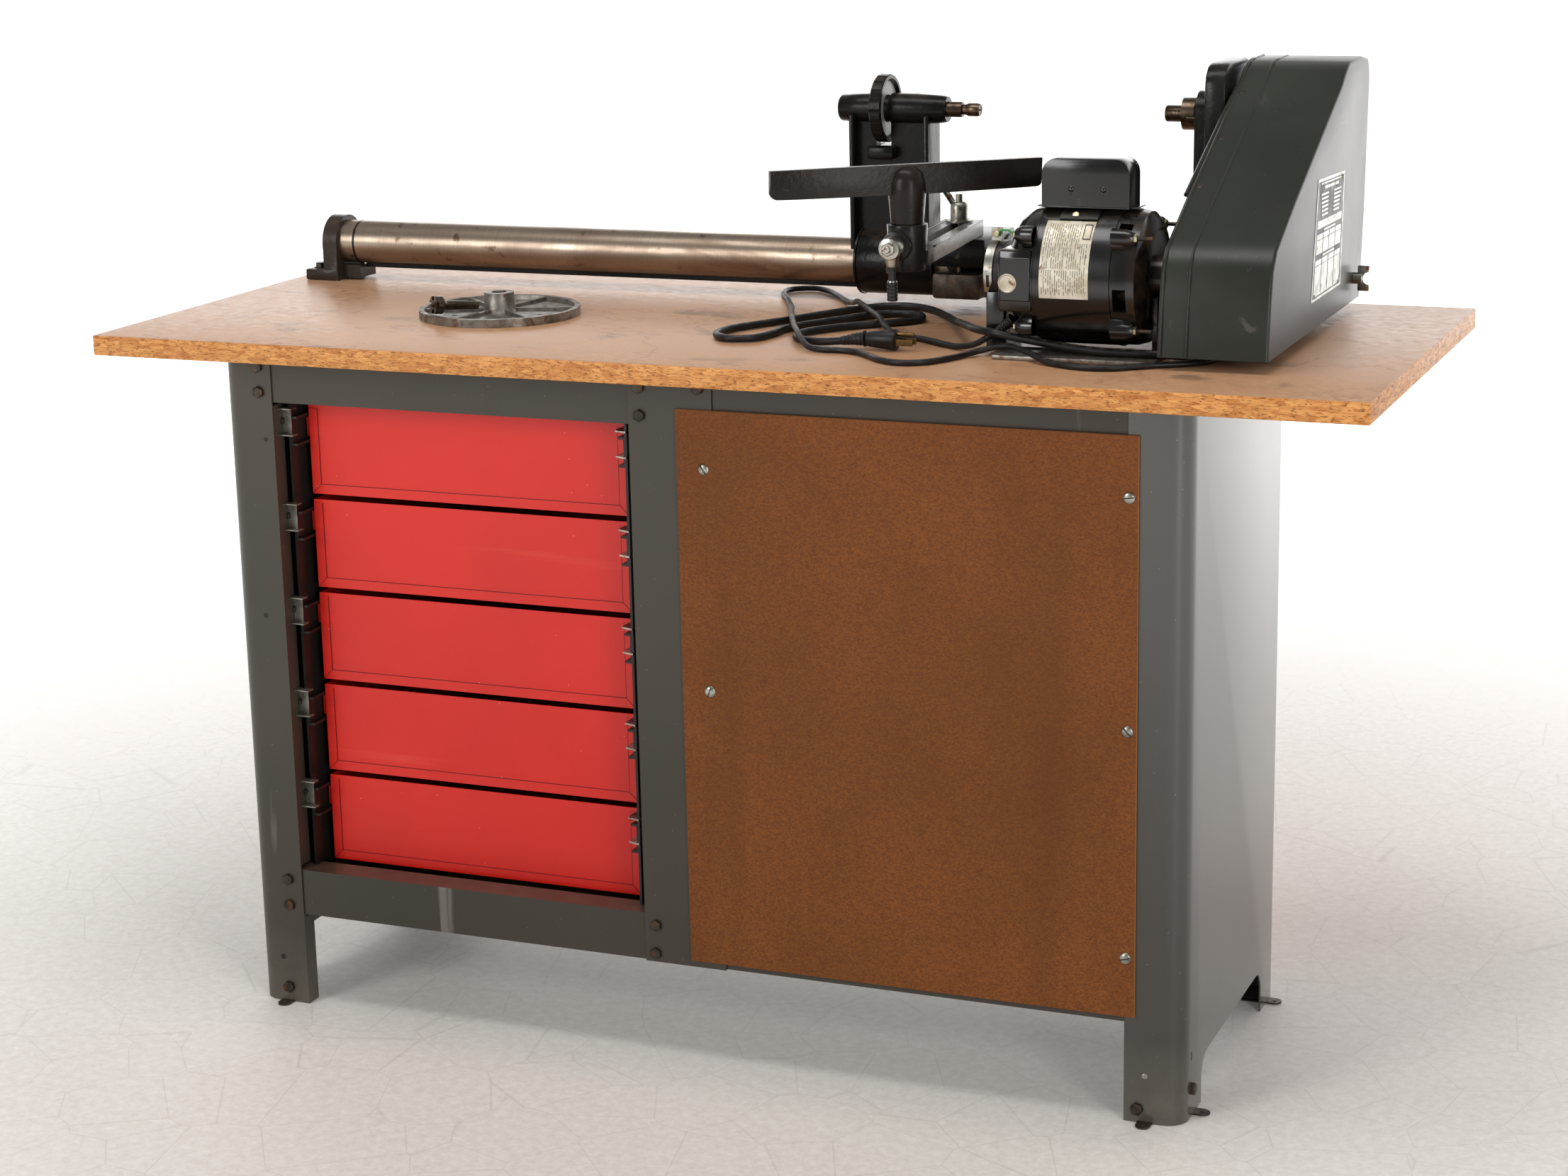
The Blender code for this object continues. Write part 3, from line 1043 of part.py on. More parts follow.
def smooth_route(route, spacing):
    """Evenly spaced points along a smooth curve through the route's points."""
    points = [Vector(p) for p in route]
    padded = [points[0] * 2 - points[1], *points, points[-1] * 2 - points[-2]]
    fine = []
    for i in range(1, len(padded) - 2):
        before, a, b, after = padded[i - 1:i + 3]
        for step in range(12):
            t = step / 12
            fine.append(0.5 * ((2 * a) + (b - before) * t + (2 * before - 5 * a + 4 * b - after) * t * t
                               + (3 * a - before - 3 * b + after) * t ** 3))
    fine.append(points[-1])
    total = sum((q - p).length for p, q in zip(fine, fine[1:]))
    count = round(total / spacing)
    step = total / count
    kept = [fine[0]]
    gone = 0.0
    for p, q in zip(fine, fine[1:]):
        length = (q - p).length
        while gone + length >= step * len(kept) - 1e-9 and len(kept) < count:
            kept.append(p.lerp(q, (step * len(kept) - gone) / length))
        gone += length
    kept.append(fine[-1])
    return kept


def cord(name, route, radius, spacing):
    curve = bpy.data.curves.new(name, "CURVE")
    curve.dimensions = "3D"
    curve.bevel_depth = radius
    curve.bevel_resolution = 2
    curve.use_fill_caps = True
    points = smooth_route(route, spacing)
    spline = curve.splines.new("POLY")
    spline.points.add(len(points) - 1)
    for point, place in zip(spline.points, points):
        point.co = (*place, 1)
    return add(name, curve, (0, 0, 0), "rubber")


def cords():
    supply = cord("supply_cord", SUPPLY_ROUTE, BENCH_CORD, 0.0265)
    lead = cord("motor_cord", LEAD_ROUTE, LEAD_CORD, 0.0215)
    plug = rod(
        "cord_plug", (PLUG_X, PLUG_Y, PLUG_Z), (PLUG_X + 0.036, PLUG_Y, PLUG_Z), 0.0085, "rubber", 24,
        end_radius=0.0124, edge=0.002,
    )
    x = PLUG_X + 0.035
    blades = [
        box(f"plug_blade_{side}", (x, PLUG_Y + side * 0.0062 - 0.0008, PLUG_Z - 0.0050),
            (x + 0.019, PLUG_Y + side * 0.0062 + 0.0008, PLUG_Z + 0.0015)) for side in (-1, 1)
    ]
    earth = rod("plug_earth", (x, PLUG_Y, PLUG_Z + 0.0070), (x + 0.021, PLUG_Y, PLUG_Z + 0.0070), 0.0022, sides=12)
    join(plug, *blades, earth)
    return [supply, lead, plug]


def build_lathe():
    fixed = [*bed(), headstock(), drive_belt(), *switch()]
    spinning = spindle_group()
    guard = belt_guard()
    drive = motor()
    tail = tailstock_group()
    rest = tool_rest_group()
    loose = [faceplate(), spur_centre(), *cords()]
    lathe = empty("lathe", (BED_LEFT, BED_Y, BED_Z))
    hold(lathe, *fixed, *spinning, *guard, *drive, *tail, *rest, *loose)


build_bench()
build_lathe()
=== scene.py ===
"""Looks for the wood lathe on its drawer bench: materials, fasteners, plates and cords round the CAD."""

import math

import bmesh
import bpy
from mathutils import Matrix, Vector


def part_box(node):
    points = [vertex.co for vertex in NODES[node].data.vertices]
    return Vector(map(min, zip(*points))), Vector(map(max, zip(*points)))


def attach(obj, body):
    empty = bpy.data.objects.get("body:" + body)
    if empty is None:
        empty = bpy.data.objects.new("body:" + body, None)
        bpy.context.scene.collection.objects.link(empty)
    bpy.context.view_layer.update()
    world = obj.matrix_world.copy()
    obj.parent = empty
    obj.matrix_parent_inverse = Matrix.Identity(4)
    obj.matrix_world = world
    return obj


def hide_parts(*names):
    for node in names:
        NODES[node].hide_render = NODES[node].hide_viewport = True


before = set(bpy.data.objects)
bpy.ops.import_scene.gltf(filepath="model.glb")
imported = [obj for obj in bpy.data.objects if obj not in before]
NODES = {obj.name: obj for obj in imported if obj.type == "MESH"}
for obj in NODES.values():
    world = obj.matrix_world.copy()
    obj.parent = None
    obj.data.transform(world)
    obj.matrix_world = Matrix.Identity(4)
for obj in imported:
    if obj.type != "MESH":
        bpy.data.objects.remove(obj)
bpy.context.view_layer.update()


# Places read from the frame
def low(node):
    return Vector(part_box(node)[0])


def high(node):
    return Vector(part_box(node)[1])


def middle(node):
    return (low(node) + high(node)) / 2


BENCH_Z = high("bench_top").z
BED = Vector((0.0, middle("bed_tube").y, middle("bed_tube").z))
SPINDLE = Vector((low("spindle").x, middle("spindle").y, middle("spindle").z))
MOTOR = Vector((0.0, middle("motor_shell").y, middle("motor_shell").z))
MOTOR_R = (high("motor_shell").z - low("motor_shell").z) / 2
STUD = middle("rest_stud")
FACE_Y = low("side_panel_left").y
GUARD_END = high("belt_cover").x
GUARD_BACK = low("belt_cover").x
ARM_TOP_Z = 0.9547
CORD_RADIUS = 0.0045
PLUG_START = 0.1643
PLUG_LENGTH = 0.036
PLUG_Z = 0.8587
LEVER_X = 0.198
LEVER_HUB_Z = 0.9625
LEAD_RADIUS = 0.0035
NEAR = (0, -1, 0)
RIGHT = (1, 0, 0)
UP = (0, 0, 1)
NODE_EDGE_DEGREES = 38
PIECE_EDGE_DEGREES = 35


SUPPLY_ROUTE = ((0.4700, 0.1230, 0.8560), (0.4780, 0.0900, 0.8520), (0.4990, 0.0350, 0.8508),
                (0.5200, -0.0200, 0.8508), (0.5330, -0.0750, 0.8508), (0.5310, -0.1100, 0.8512),
                (0.5230, -0.1360, 0.8530), (0.5050, -0.1490, 0.8558), (0.4850, -0.1525, 0.8563),
                (0.4420, -0.1550, 0.8567), (0.4100, -0.1555, 0.8590), (0.3777, -0.1560, 0.8630),
                (0.3400, -0.1565, 0.8685), (0.3126, -0.1545, 0.8725), (0.2860, -0.1340, 0.8720),
                (0.2620, -0.0880, 0.8668), (0.2365, -0.0360, 0.8600), (0.2120, 0.0150, 0.8532),
                (0.1850, 0.0600, 0.8510), (0.1520, 0.1000, 0.8508), (0.1190, 0.1180, 0.8508),
                (0.0860, 0.1090, 0.8508), (0.0620, 0.0790, 0.8508), (0.0410, 0.0420, 0.8508),
                (0.0163, -0.0048, 0.8508), (-0.0100, -0.0500, 0.8508), (-0.0300, -0.0900, 0.8508),
                (-0.0310, -0.1260, 0.8508), (-0.0080, -0.1500, 0.8508), (0.0210, -0.1400, 0.8508),
                (0.0300, -0.1050, 0.8508), (0.0320, -0.0720, 0.8508), (0.0490, -0.0320, 0.8508),
                (0.0760, 0.0120, 0.8508), (0.0980, 0.0450, 0.8508), (0.1250, 0.0660, 0.8508),
                (0.1530, 0.0580, 0.8508), (0.1610, 0.0290, 0.8508), (0.1390, 0.0010, 0.8508),
                (0.1080, -0.0260, 0.8508), (0.0800, -0.0590, 0.8508), (0.0620, -0.0930, 0.8508),
                (0.0690, -0.1260, 0.8508), (0.0980, -0.1430, 0.8510), (0.1260, -0.1490, 0.8535),
                (0.1480, -0.1525, 0.8572), (0.1625, -0.1530, 0.8587), )
LEAD_ROUTE = ((0.3335, -0.1450, 0.8860), (0.3270, -0.1447, 0.8815), (0.3170, -0.1445, 0.8740),
              (0.3020, -0.1435, 0.8640), (0.2860, -0.1390, 0.8555), (0.2645, -0.1300, 0.8505),
              (0.2430, -0.1160, 0.8498), (0.2150, -0.0950, 0.8498), (0.1860, -0.0770, 0.8498),
              (0.1620, -0.0600, 0.8500), (0.1440, -0.0400, 0.8540), (0.1320, -0.0220, 0.8590),
              (0.1220, -0.0070, 0.8604), (0.1110, 0.0100, 0.8600), (0.0990, 0.0300, 0.8602),
              (0.0880, 0.0470, 0.8600), (0.0760, 0.0650, 0.8602), (0.0640, 0.0820, 0.8602),
              (0.0490, 0.1070, 0.8545), (0.0290, 0.1390, 0.8500), (0.0040, 0.1760, 0.8498),
              (-0.0230, 0.2110, 0.8498), (-0.0500, 0.2280, 0.8498), (-0.0740, 0.2120, 0.8498),
              (-0.0720, 0.1810, 0.8498), (-0.0500, 0.1400, 0.8498), (-0.0260, 0.0900, 0.8510),
              (-0.0040, 0.0400, 0.8565), (0.0110, 0.0000, 0.8602), (0.0240, -0.0300, 0.8600),
              (0.0370, -0.0600, 0.8604), (0.0490, -0.0860, 0.8600), (0.0600, -0.1100, 0.8602),
              (0.0720, -0.1330, 0.8604), (0.0860, -0.1560, 0.8560), (0.1030, -0.1760, 0.8505),
              (0.1230, -0.1850, 0.8498), (0.1450, -0.1840, 0.8498), (0.1660, -0.1900, 0.8498),
              (0.1860, -0.2070, 0.8498), (0.2080, -0.2290, 0.8498), (0.2340, -0.2400, 0.8498),
              (0.2590, -0.2300, 0.8498), (0.2750, -0.2040, 0.8498), (0.2870, -0.1760, 0.8500),
              (0.3040, -0.1570, 0.8535), (0.3250, -0.1530, 0.8580), (0.3460, -0.1620, 0.8572),
              (0.3640, -0.1780, 0.8553), (0.3840, -0.1930, 0.8508), (0.4080, -0.2060, 0.8498),
              (0.4360, -0.2140, 0.8498), (0.4620, -0.2110, 0.8498), (0.4830, -0.1970, 0.8498),
              (0.5030, -0.1820, 0.8498), (0.5240, -0.1700, 0.8498), (0.5450, -0.1540, 0.8498),
              (0.5580, -0.1270, 0.8498), (0.5590, -0.0850, 0.8498), (0.5460, -0.0300, 0.8498),
              (0.5230, 0.0300, 0.8498), (0.5030, 0.0900, 0.8505), (0.4960, 0.1230, 0.8530), )


def tone(red, green, blue):
    """A screen colour, 0 to 255, as the linear colour a shader takes."""
    return tuple(((v / 255 + 0.055) / 1.055) ** 2.4 if v > 10 else v / 3295 for v in (red, green, blue))


class Nodes:
    """A node tree, written one node at a time."""

    def __init__(self, tree, prefix="ShaderNode"):
        self.tree = tree
        self.prefix = prefix

    def node(self, kind, inputs=(), **settings):
        """A new node, with its settings made and its inputs, by name or number, linked or filled."""
        made = self.tree.nodes.new(self.prefix + kind)
        for key, value in settings.items():
            setattr(made, key, value)
        for key, value in dict(inputs).items():
            self.feed(made.inputs[key], value)
        return made

    def feed(self, socket, value):
        if isinstance(value, bpy.types.NodeSocket):
            self.tree.links.new(value, socket)
        elif socket.type == "RGBA":
            socket.default_value = (*tone(*value), 1.0)
        else:
            socket.default_value = value

    def span(self, value, start, end, first=0.0, last=1.0):
        limits = {"From Min": start, "From Max": end, "To Min": first, "To Max": last}
        return self.node("MapRange", {"Value": value, **limits}, clamp=True).outputs["Result"]

    def sum(self, first, second, operation="ADD"):
        return self.node("Math", {0: first, 1: second}, operation=operation,
                         use_clamp=operation != "ADD").outputs[0]

    def times(self, first, second):
        return self.sum(first, second, "MULTIPLY")


class Look(Nodes):
    """A procedural material, made from noise over the piece's coordinates, with screen colours, 0 to 255."""

    def __init__(self, name, roughness=0.5, metallic=0.0, coat=0.0, specular=0.5):
        self.material = bpy.data.materials.new(name)
        self.material.use_nodes = True
        super().__init__(self.material.node_tree)
        self.inputs = self.tree.nodes["Principled BSDF"].inputs
        self.inputs["Roughness"].default_value = roughness
        self.inputs["Metallic"].default_value = metallic
        self.inputs["Coat Weight"].default_value = coat
        self.inputs["Coat Roughness"].default_value = 0.12
        self.inputs["Specular IOR Level"].default_value = specular
        self.place = self.node("TexCoord").outputs["Object"]

    def stretched(self, stretch, turn=(0, 0, 0)):
        return self.node("Mapping", {"Vector": self.place, "Scale": stretch,
                                     "Rotation": turn}).outputs["Vector"]

    def noise(self, scale, detail=3.0, stretch=(1, 1, 1), rough=0.55, distortion=0.0, turn=(0, 0, 0)):
        values = {"Scale": scale, "Detail": detail, "Roughness": rough, "Distortion": distortion}
        return self.node("TexNoise", {"Vector": self.stretched(stretch, turn), **values}).outputs["Fac"]

    def cells(self, scale, stretch=(1, 1, 1), output="Distance", feature="F1"):
        made = self.node("TexVoronoi", {"Vector": self.stretched(stretch), "Scale": scale}, feature=feature)
        return made.outputs[output]

    def ramp(self, factor, *stops):
        """Greys along a factor. A stop is (position, grey)."""
        made = self.node("ValToRGB", {"Fac": factor})
        elements = made.color_ramp.elements
        while len(elements) < len(stops):
            elements.new(0.5)
        for element, (position, grey) in zip(elements, stops):
            element.position = position
            element.color = (grey, grey, grey, 1.0)
        return made.outputs["Color"]

    def mix(self, factor, first, second):
        return self.node("Mix", {0: factor, 6: first, 7: second}, data_type="RGBA").outputs[2]

    def blend(self, value, start, end, first, second, most=1.0):
        """The first colour, turning into the second as a value goes from start to end."""
        return self.mix(self.ramp(value, (start, 0.0), (end, most)), first, second)

    def flecks(self, under, scale, start, end, share, colour, stretch=(1, 1, 1)):
        """Small round specks of a colour over another."""
        spots = self.ramp(self.cells(scale, stretch), (start, 1.0), (end, 0.0))
        return self.mix(self.times(spots, share), under, colour)

    def part(self, vector, letter, start, end):
        return self.span(self.node("SeparateXYZ", {0: vector}).outputs[letter], start, end)

    def axis(self, letter, start, end):
        """0 to 1 along one axis, between two places."""
        return self.part(self.place, letter, start, end)

    def facing(self, letter, start=0.5, end=0.8):
        """0 to 1 as the surface turns to face along an axis."""
        return self.part(self.node("NewGeometry").outputs["Normal"], letter, start, end)

    def paint(self):
        """What feeds the base colour so far."""
        return self.inputs["Base Color"].links[0].from_socket

    def colour(self, value):
        self.feed(self.inputs["Base Color"], value)
        return self

    def rough(self, value, first, last):
        self.feed(self.inputs["Roughness"], self.span(value, 0.25, 0.75, first, last))
        return self

    def bump(self, height, strength, distance):
        """Adds a relief over the ones that are there."""
        values = {"Strength": strength, "Distance": distance, "Height": height}
        for link in self.inputs["Normal"].links:
            values["Normal"] = link.from_socket
        self.feed(self.inputs["Normal"], self.node("Bump", values).outputs["Normal"])
        return self


def board_look():
    """Particle board: pressed flakes at the cut edges, a pinkish sealed skin on top, stained and specked."""
    look = Look("board", 0.42, specular=0.22)
    flake = look.cells(170, (0.45, 0.45, 1.6), "Color")
    flake_tone = look.mix(look.times(flake, 0.9), (172, 104, 50), (224, 164, 96))
    grain = look.noise(320, 4, (0.4, 0.4, 2.0))
    edge = look.blend(grain, 0.3, 0.48, (112, 66, 36), flake_tone)
    pores = look.ramp(look.cells(240, (0.5, 0.5, 1.4)), (0.1, 0.0), (0.2, 1.0))
    edge = look.mix(pores, (92, 54, 32), edge)
    blotch = look.noise(2.6, 5, rough=0.6, distortion=0.4)
    top = look.blend(blotch, 0.35, 0.7, (198, 156, 122), (178, 134, 98))
    fine = look.noise(90, 4)
    top = look.blend(fine, 0.3, 0.72, (172, 128, 94), top)
    streak = look.noise(9, 4, (1.0, 9.0, 1.0), distortion=0.6)
    top = look.blend(streak, 0.6, 0.8, top, (166, 122, 90), 0.35)
    stain = look.noise(5.5, 4, distortion=1.5, turn=(0, 0, 0.7))
    stained = look.times(look.ramp(stain, (0.66, 0.0), (0.72, 0.65)), look.axis("X", 0.1, -0.35))
    top = look.mix(stained, top, (146, 104, 76))
    top = look.flecks(top, 42, 0.035, 0.06, 0.55, (70, 44, 32))
    smear = look.ramp(look.noise(9, 7, (1.0, 1.6, 1.0), rough=0.7, turn=(0, 0, 0.7)), (0.55, 0.0),
                      (0.63, 0.75))
    smear = look.times(smear, look.ramp(look.noise(3.1, 3, turn=(0.4, 0, 1.1)), (0.48, 0.0), (0.56, 1.0)))
    top = look.mix(smear, top, (122, 96, 74))
    ring_noise = look.noise(2.3, 6, (1.0, 1.5, 1.0), rough=0.62, turn=(0.3, 0, 0.4))
    rings = look.ramp(ring_noise, (0.493, 0.0), (0.498, 0.34), (0.502, 0.34), (0.507, 0.0))
    top = look.mix(rings, top, (118, 68, 44))
    specks = look.times(look.ramp(look.noise(120, 2), (0.74, 0.0), (0.76, 0.9)),
                        look.ramp(look.noise(2.6, 4, turn=(0, 0.5, 2.0)), (0.5, 0.0), (0.6, 1.0)))
    top = look.mix(specks, top, (54, 40, 30))
    look.colour(look.mix(look.facing("Z", 0.6, 0.9), edge, top))
    look.rough(fine, 0.3, 0.5)
    chips = look.times(grain, look.facing("Z", 0.9, 0.5))
    return look.bump(fine, 0.1, 0.0004).bump(chips, 0.7, 0.0012)


def sheet_paint(name, base, light, roughness=(0.3, 0.46), scuff=0.35, specular=0.35, coat=0.05):
    """Baked enamel on sheet steel: orange peel, hazy patches, fine scuffs and settled dust low down."""
    look = Look(name, 0.36, coat=coat, specular=specular)
    haze = look.noise(3.2, 4, distortion=0.3)
    paint = look.blend(haze, 0.35, 0.72, base, light)
    scratch = look.noise(24, 5, (1.0, 1.0, 0.07), distortion=0.2)
    paint = look.blend(scratch, 0.68, 0.74, paint, (150, 148, 140), scuff)
    paint = look.flecks(paint, 75, 0.03, 0.045, 0.5, (168, 160, 146))
    dust = look.times(look.axis("Z", 0.1, 0.0), look.noise(30, 4))
    paint = look.mix(look.times(dust, 0.5), paint, (140, 130, 116))
    look.colour(paint)
    look.rough(haze, *roughness)
    return look.bump(look.noise(420, 2), 0.1, 0.0003)


def rail_look():
    """The cabinet's enamel with rust and grime along the upward flanges."""
    look = sheet_paint("rail_paint", (50, 46, 38), (60, 56, 47))
    paint = look.paint()
    grime = look.mix(look.noise(26, 5), (104, 86, 70), (58, 42, 32))
    look.colour(look.mix(look.facing("Z", 0.6, 0.9), paint, grime))
    return look


def drawer_look():
    look = Look("drawer_red", 0.36, coat=0.1, specular=0.35)
    haze = look.noise(4.0, 4, distortion=0.2)
    paint = look.blend(haze, 0.32, 0.75, (196, 22, 12), (212, 34, 20))
    rub = look.noise(30, 5, (0.05, 1.0, 1.0))
    paint = look.blend(rub, 0.7, 0.78, paint, (222, 84, 66), 0.35)
    look.colour(look.flecks(paint, 46, 0.022, 0.034, 0.6, (236, 190, 176)))
    look.rough(haze, 0.28, 0.46)
    return look.bump(look.noise(360, 2), 0.08, 0.0003)


def hardboard_look():
    """Pressed fibre board: matted dark fibres, cloudy browning, faint vertical water bands."""
    look = Look("hardboard", 0.62, specular=0.2)
    fibre = look.noise(420, 6, (0.8, 1.0, 1.3), rough=0.7)
    cloud = look.noise(3.4, 5, distortion=0.5)
    base = look.blend(cloud, 0.3, 0.72, (112, 63, 24), (140, 82, 36))
    base = look.blend(fibre, 0.32, 0.66, (84, 46, 18), base)
    bands = look.noise(7, 3, (1.0, 1.0, 0.08))
    base = look.blend(bands, 0.56, 0.72, base, (84, 46, 20), 0.45)
    base = look.flecks(base, 150, 0.05, 0.09, 0.45, (160, 104, 54), (0.5, 1.0, 2.0))
    edge = look.facing("Y", -0.6, -0.2)
    look.colour(look.mix(edge, base, (176, 122, 74)))
    look.rough(fibre, 0.5, 0.75)
    return look.bump(fibre, 0.18, 0.0003)


def bed_look():
    """Ground steel tube: turning marks round it, brown rust bloom, darker blotches."""
    look = Look("bed_steel", 0.28, metallic=1.0)
    turning = look.noise(900, 2, (1.0, 0.02, 0.02))
    steel = look.mix(turning, (138, 122, 106), (176, 162, 146))
    bloom = look.noise(11, 6, (0.35, 1.6, 1.6), rough=0.65, distortion=0.8)
    steel = look.blend(bloom, 0.42, 0.7, steel, (104, 76, 56), 0.85)
    spots = look.noise(60, 5)
    steel = look.blend(spots, 0.62, 0.72, steel, (74, 48, 34), 0.7)
    look.colour(steel)
    look.rough(bloom, 0.2, 0.46)
    look.feed(look.inputs["Metallic"], look.span(look.sum(bloom, 0.12), 0.3, 0.7, 1.0, 0.8))
    return look.bump(turning, 0.12, 0.0002)


def casting_look(name="casting_paint", base=(11, 11, 11), light=(22, 21, 20), bump=0.3, rough=(0.18, 0.34),
                 dust=0.22):
    """Brushed enamel over sand-cast iron: a lumpy skin, glossy, dusty in the hollows."""
    look = Look(name, 0.25, coat=0.0, specular=0.16)
    lumps = look.noise(150, 4, distortion=0.2)
    haze = look.noise(9, 4)
    paint = look.blend(haze, 0.35, 0.7, base, light)
    settled = look.times(look.facing("Z", 0.5, 0.95), look.ramp(look.noise(38, 5), (0.42, 0.0), (0.66, 1.0)))
    paint = look.mix(look.times(settled, dust), paint, (112, 92, 74))
    chips = look.ramp(look.noise(55, 5), (0.72, 0.0), (0.75, 0.5))
    paint = look.mix(chips, paint, (92, 84, 74))
    look.colour(paint)
    look.rough(haze, *rough)
    return look.bump(lumps, bump, 0.0012)


def arm_look():
    """The arm: black enamel, its two bars rubbed to rough light-grey iron on their flanks and edges."""
    look = casting_look("arm_paint", (20, 20, 20), (34, 33, 32))
    paint = look.paint()
    iron = look.mix(look.noise(180, 5), (96, 96, 92), (176, 176, 170))
    flank = look.times(look.facing("Z", 0.5, 0.2), look.facing("X", 0.3, 0.7))
    bars = look.times(flank, look.axis("Y", -0.1, -0.085))
    top = look.times(look.facing("Z", 0.6, 0.9), look.ramp(look.noise(60, 4), (0.35, 0.15), (0.62, 0.75)))
    top = look.times(top, look.axis("Y", -0.09, -0.06))
    look.colour(look.mix(look.sum(bars, look.times(top, 0.5)), paint, iron))
    return look


def wheel_look():
    """The handwheel: black ribbed rim and boss, bare grey faces."""
    look = casting_look("handwheel", (12, 12, 12), (24, 23, 22))
    paint = look.paint()
    away = look.node("VectorMath", {0: look.place, 1: middle("handwheel")}, operation="DISTANCE")
    web = look.span(away.outputs["Value"], 0.0335, 0.0315)
    side = look.times(look.facing("X", 0.7, 0.9), web)
    grey = look.mix(look.noise(120, 4), (110, 110, 106), (160, 160, 156))
    look.colour(look.mix(side, paint, grey))
    return look


def metal_look(name, bright, dark, rough=(0.22, 0.42), rust=0.0, rust_tone=(104, 66, 40), metallic=1.0,
               marks=0.15):
    """Bare or plated metal: fine machining marks, cloudy tarnish and as much rust as asked for."""
    look = Look(name, 0.3, metallic=metallic)
    cloud = look.noise(70, 4)
    marks_noise = look.noise(700, 2, (0.3, 1.0, 1.0))
    metal = look.blend(cloud, 0.35, 0.68, bright, dark)
    if rust:
        bloom = look.noise(95, 5, distortion=0.6)
        metal = look.blend(bloom, 0.62 - 0.22 * rust, 0.7, metal, rust_tone, 0.95)
    look.colour(metal)
    look.rough(cloud, *rough)
    return look.bump(marks_noise, marks, 0.0002)


def guard_look():
    """Wrinkle-free grey-green enamel, specked and scratched, with a painted reflection that makes the faces turned to
    the outer end paler.
    """
    look = Look("guard_paint", 0.36, coat=0.0, specular=0.3)
    haze = look.noise(6, 4, distortion=0.4)
    paint = look.blend(haze, 0.35, 0.72, (35, 37, 30), (45, 47, 39))
    # pale: a paler copy of the enamel, mixed in on the faces turned to +X as a painted reflection of the bright light
    # there.
    pale = look.blend(haze, 0.35, 0.72, (48, 48, 45), (64, 63, 60))
    paint = look.mix(look.facing("X", 0.6, 0.95), paint, pale)
    paint = look.flecks(paint, 110, 0.03, 0.05, 0.55, (170, 158, 140))
    scratch = look.noise(36, 5, (1.0, 0.08, 1.0), distortion=0.5)
    paint = look.blend(scratch, 0.69, 0.75, paint, (110, 106, 98), 0.3)
    look.colour(paint)
    look.rough(haze, 0.3, 0.42)
    return look.bump(look.noise(500, 2), 0.16, 0.0003)


def motor_look():
    """Gloss black enamel with brown sawdust settled on its right end and its upper surfaces."""
    look = Look("motor_paint", 0.2, coat=0.2, specular=0.45)
    haze = look.noise(12, 4)
    paint = look.blend(haze, 0.35, 0.7, (7, 7, 7), (16, 16, 15))
    dust_spread = look.ramp(look.noise(44, 6, distortion=0.5), (0.4, 0.0), (0.68, 1.0))
    right = look.times(dust_spread, look.axis("X", 0.462, 0.492))
    paint = look.mix(look.times(right, 0.55), paint, (88, 62, 42))
    up = look.times(dust_spread, look.facing("Z", 0.55, 1.0))
    paint = look.mix(look.times(up, 0.16), paint, (128, 112, 94))
    look.colour(paint)
    look.rough(haze, 0.12, 0.3)
    return look.bump(look.noise(260, 3), 0.1, 0.0004)


def rubber_look(name="cord_rubber", base=(14, 14, 14), light=(28, 27, 27), dust=0.35):
    look = Look(name, 0.45, specular=0.35)
    haze = look.noise(45, 4)
    body = look.blend(haze, 0.35, 0.7, base, light)
    settled = look.times(look.facing("Z", 0.6, 1.0), look.ramp(look.noise(130, 4), (0.5, 0.0), (0.66, 1.0)))
    look.colour(look.mix(look.times(settled, dust), body, (140, 120, 100)))
    look.rough(haze, 0.32, 0.55)
    return look.bump(look.noise(600, 2), 0.12, 0.0002)


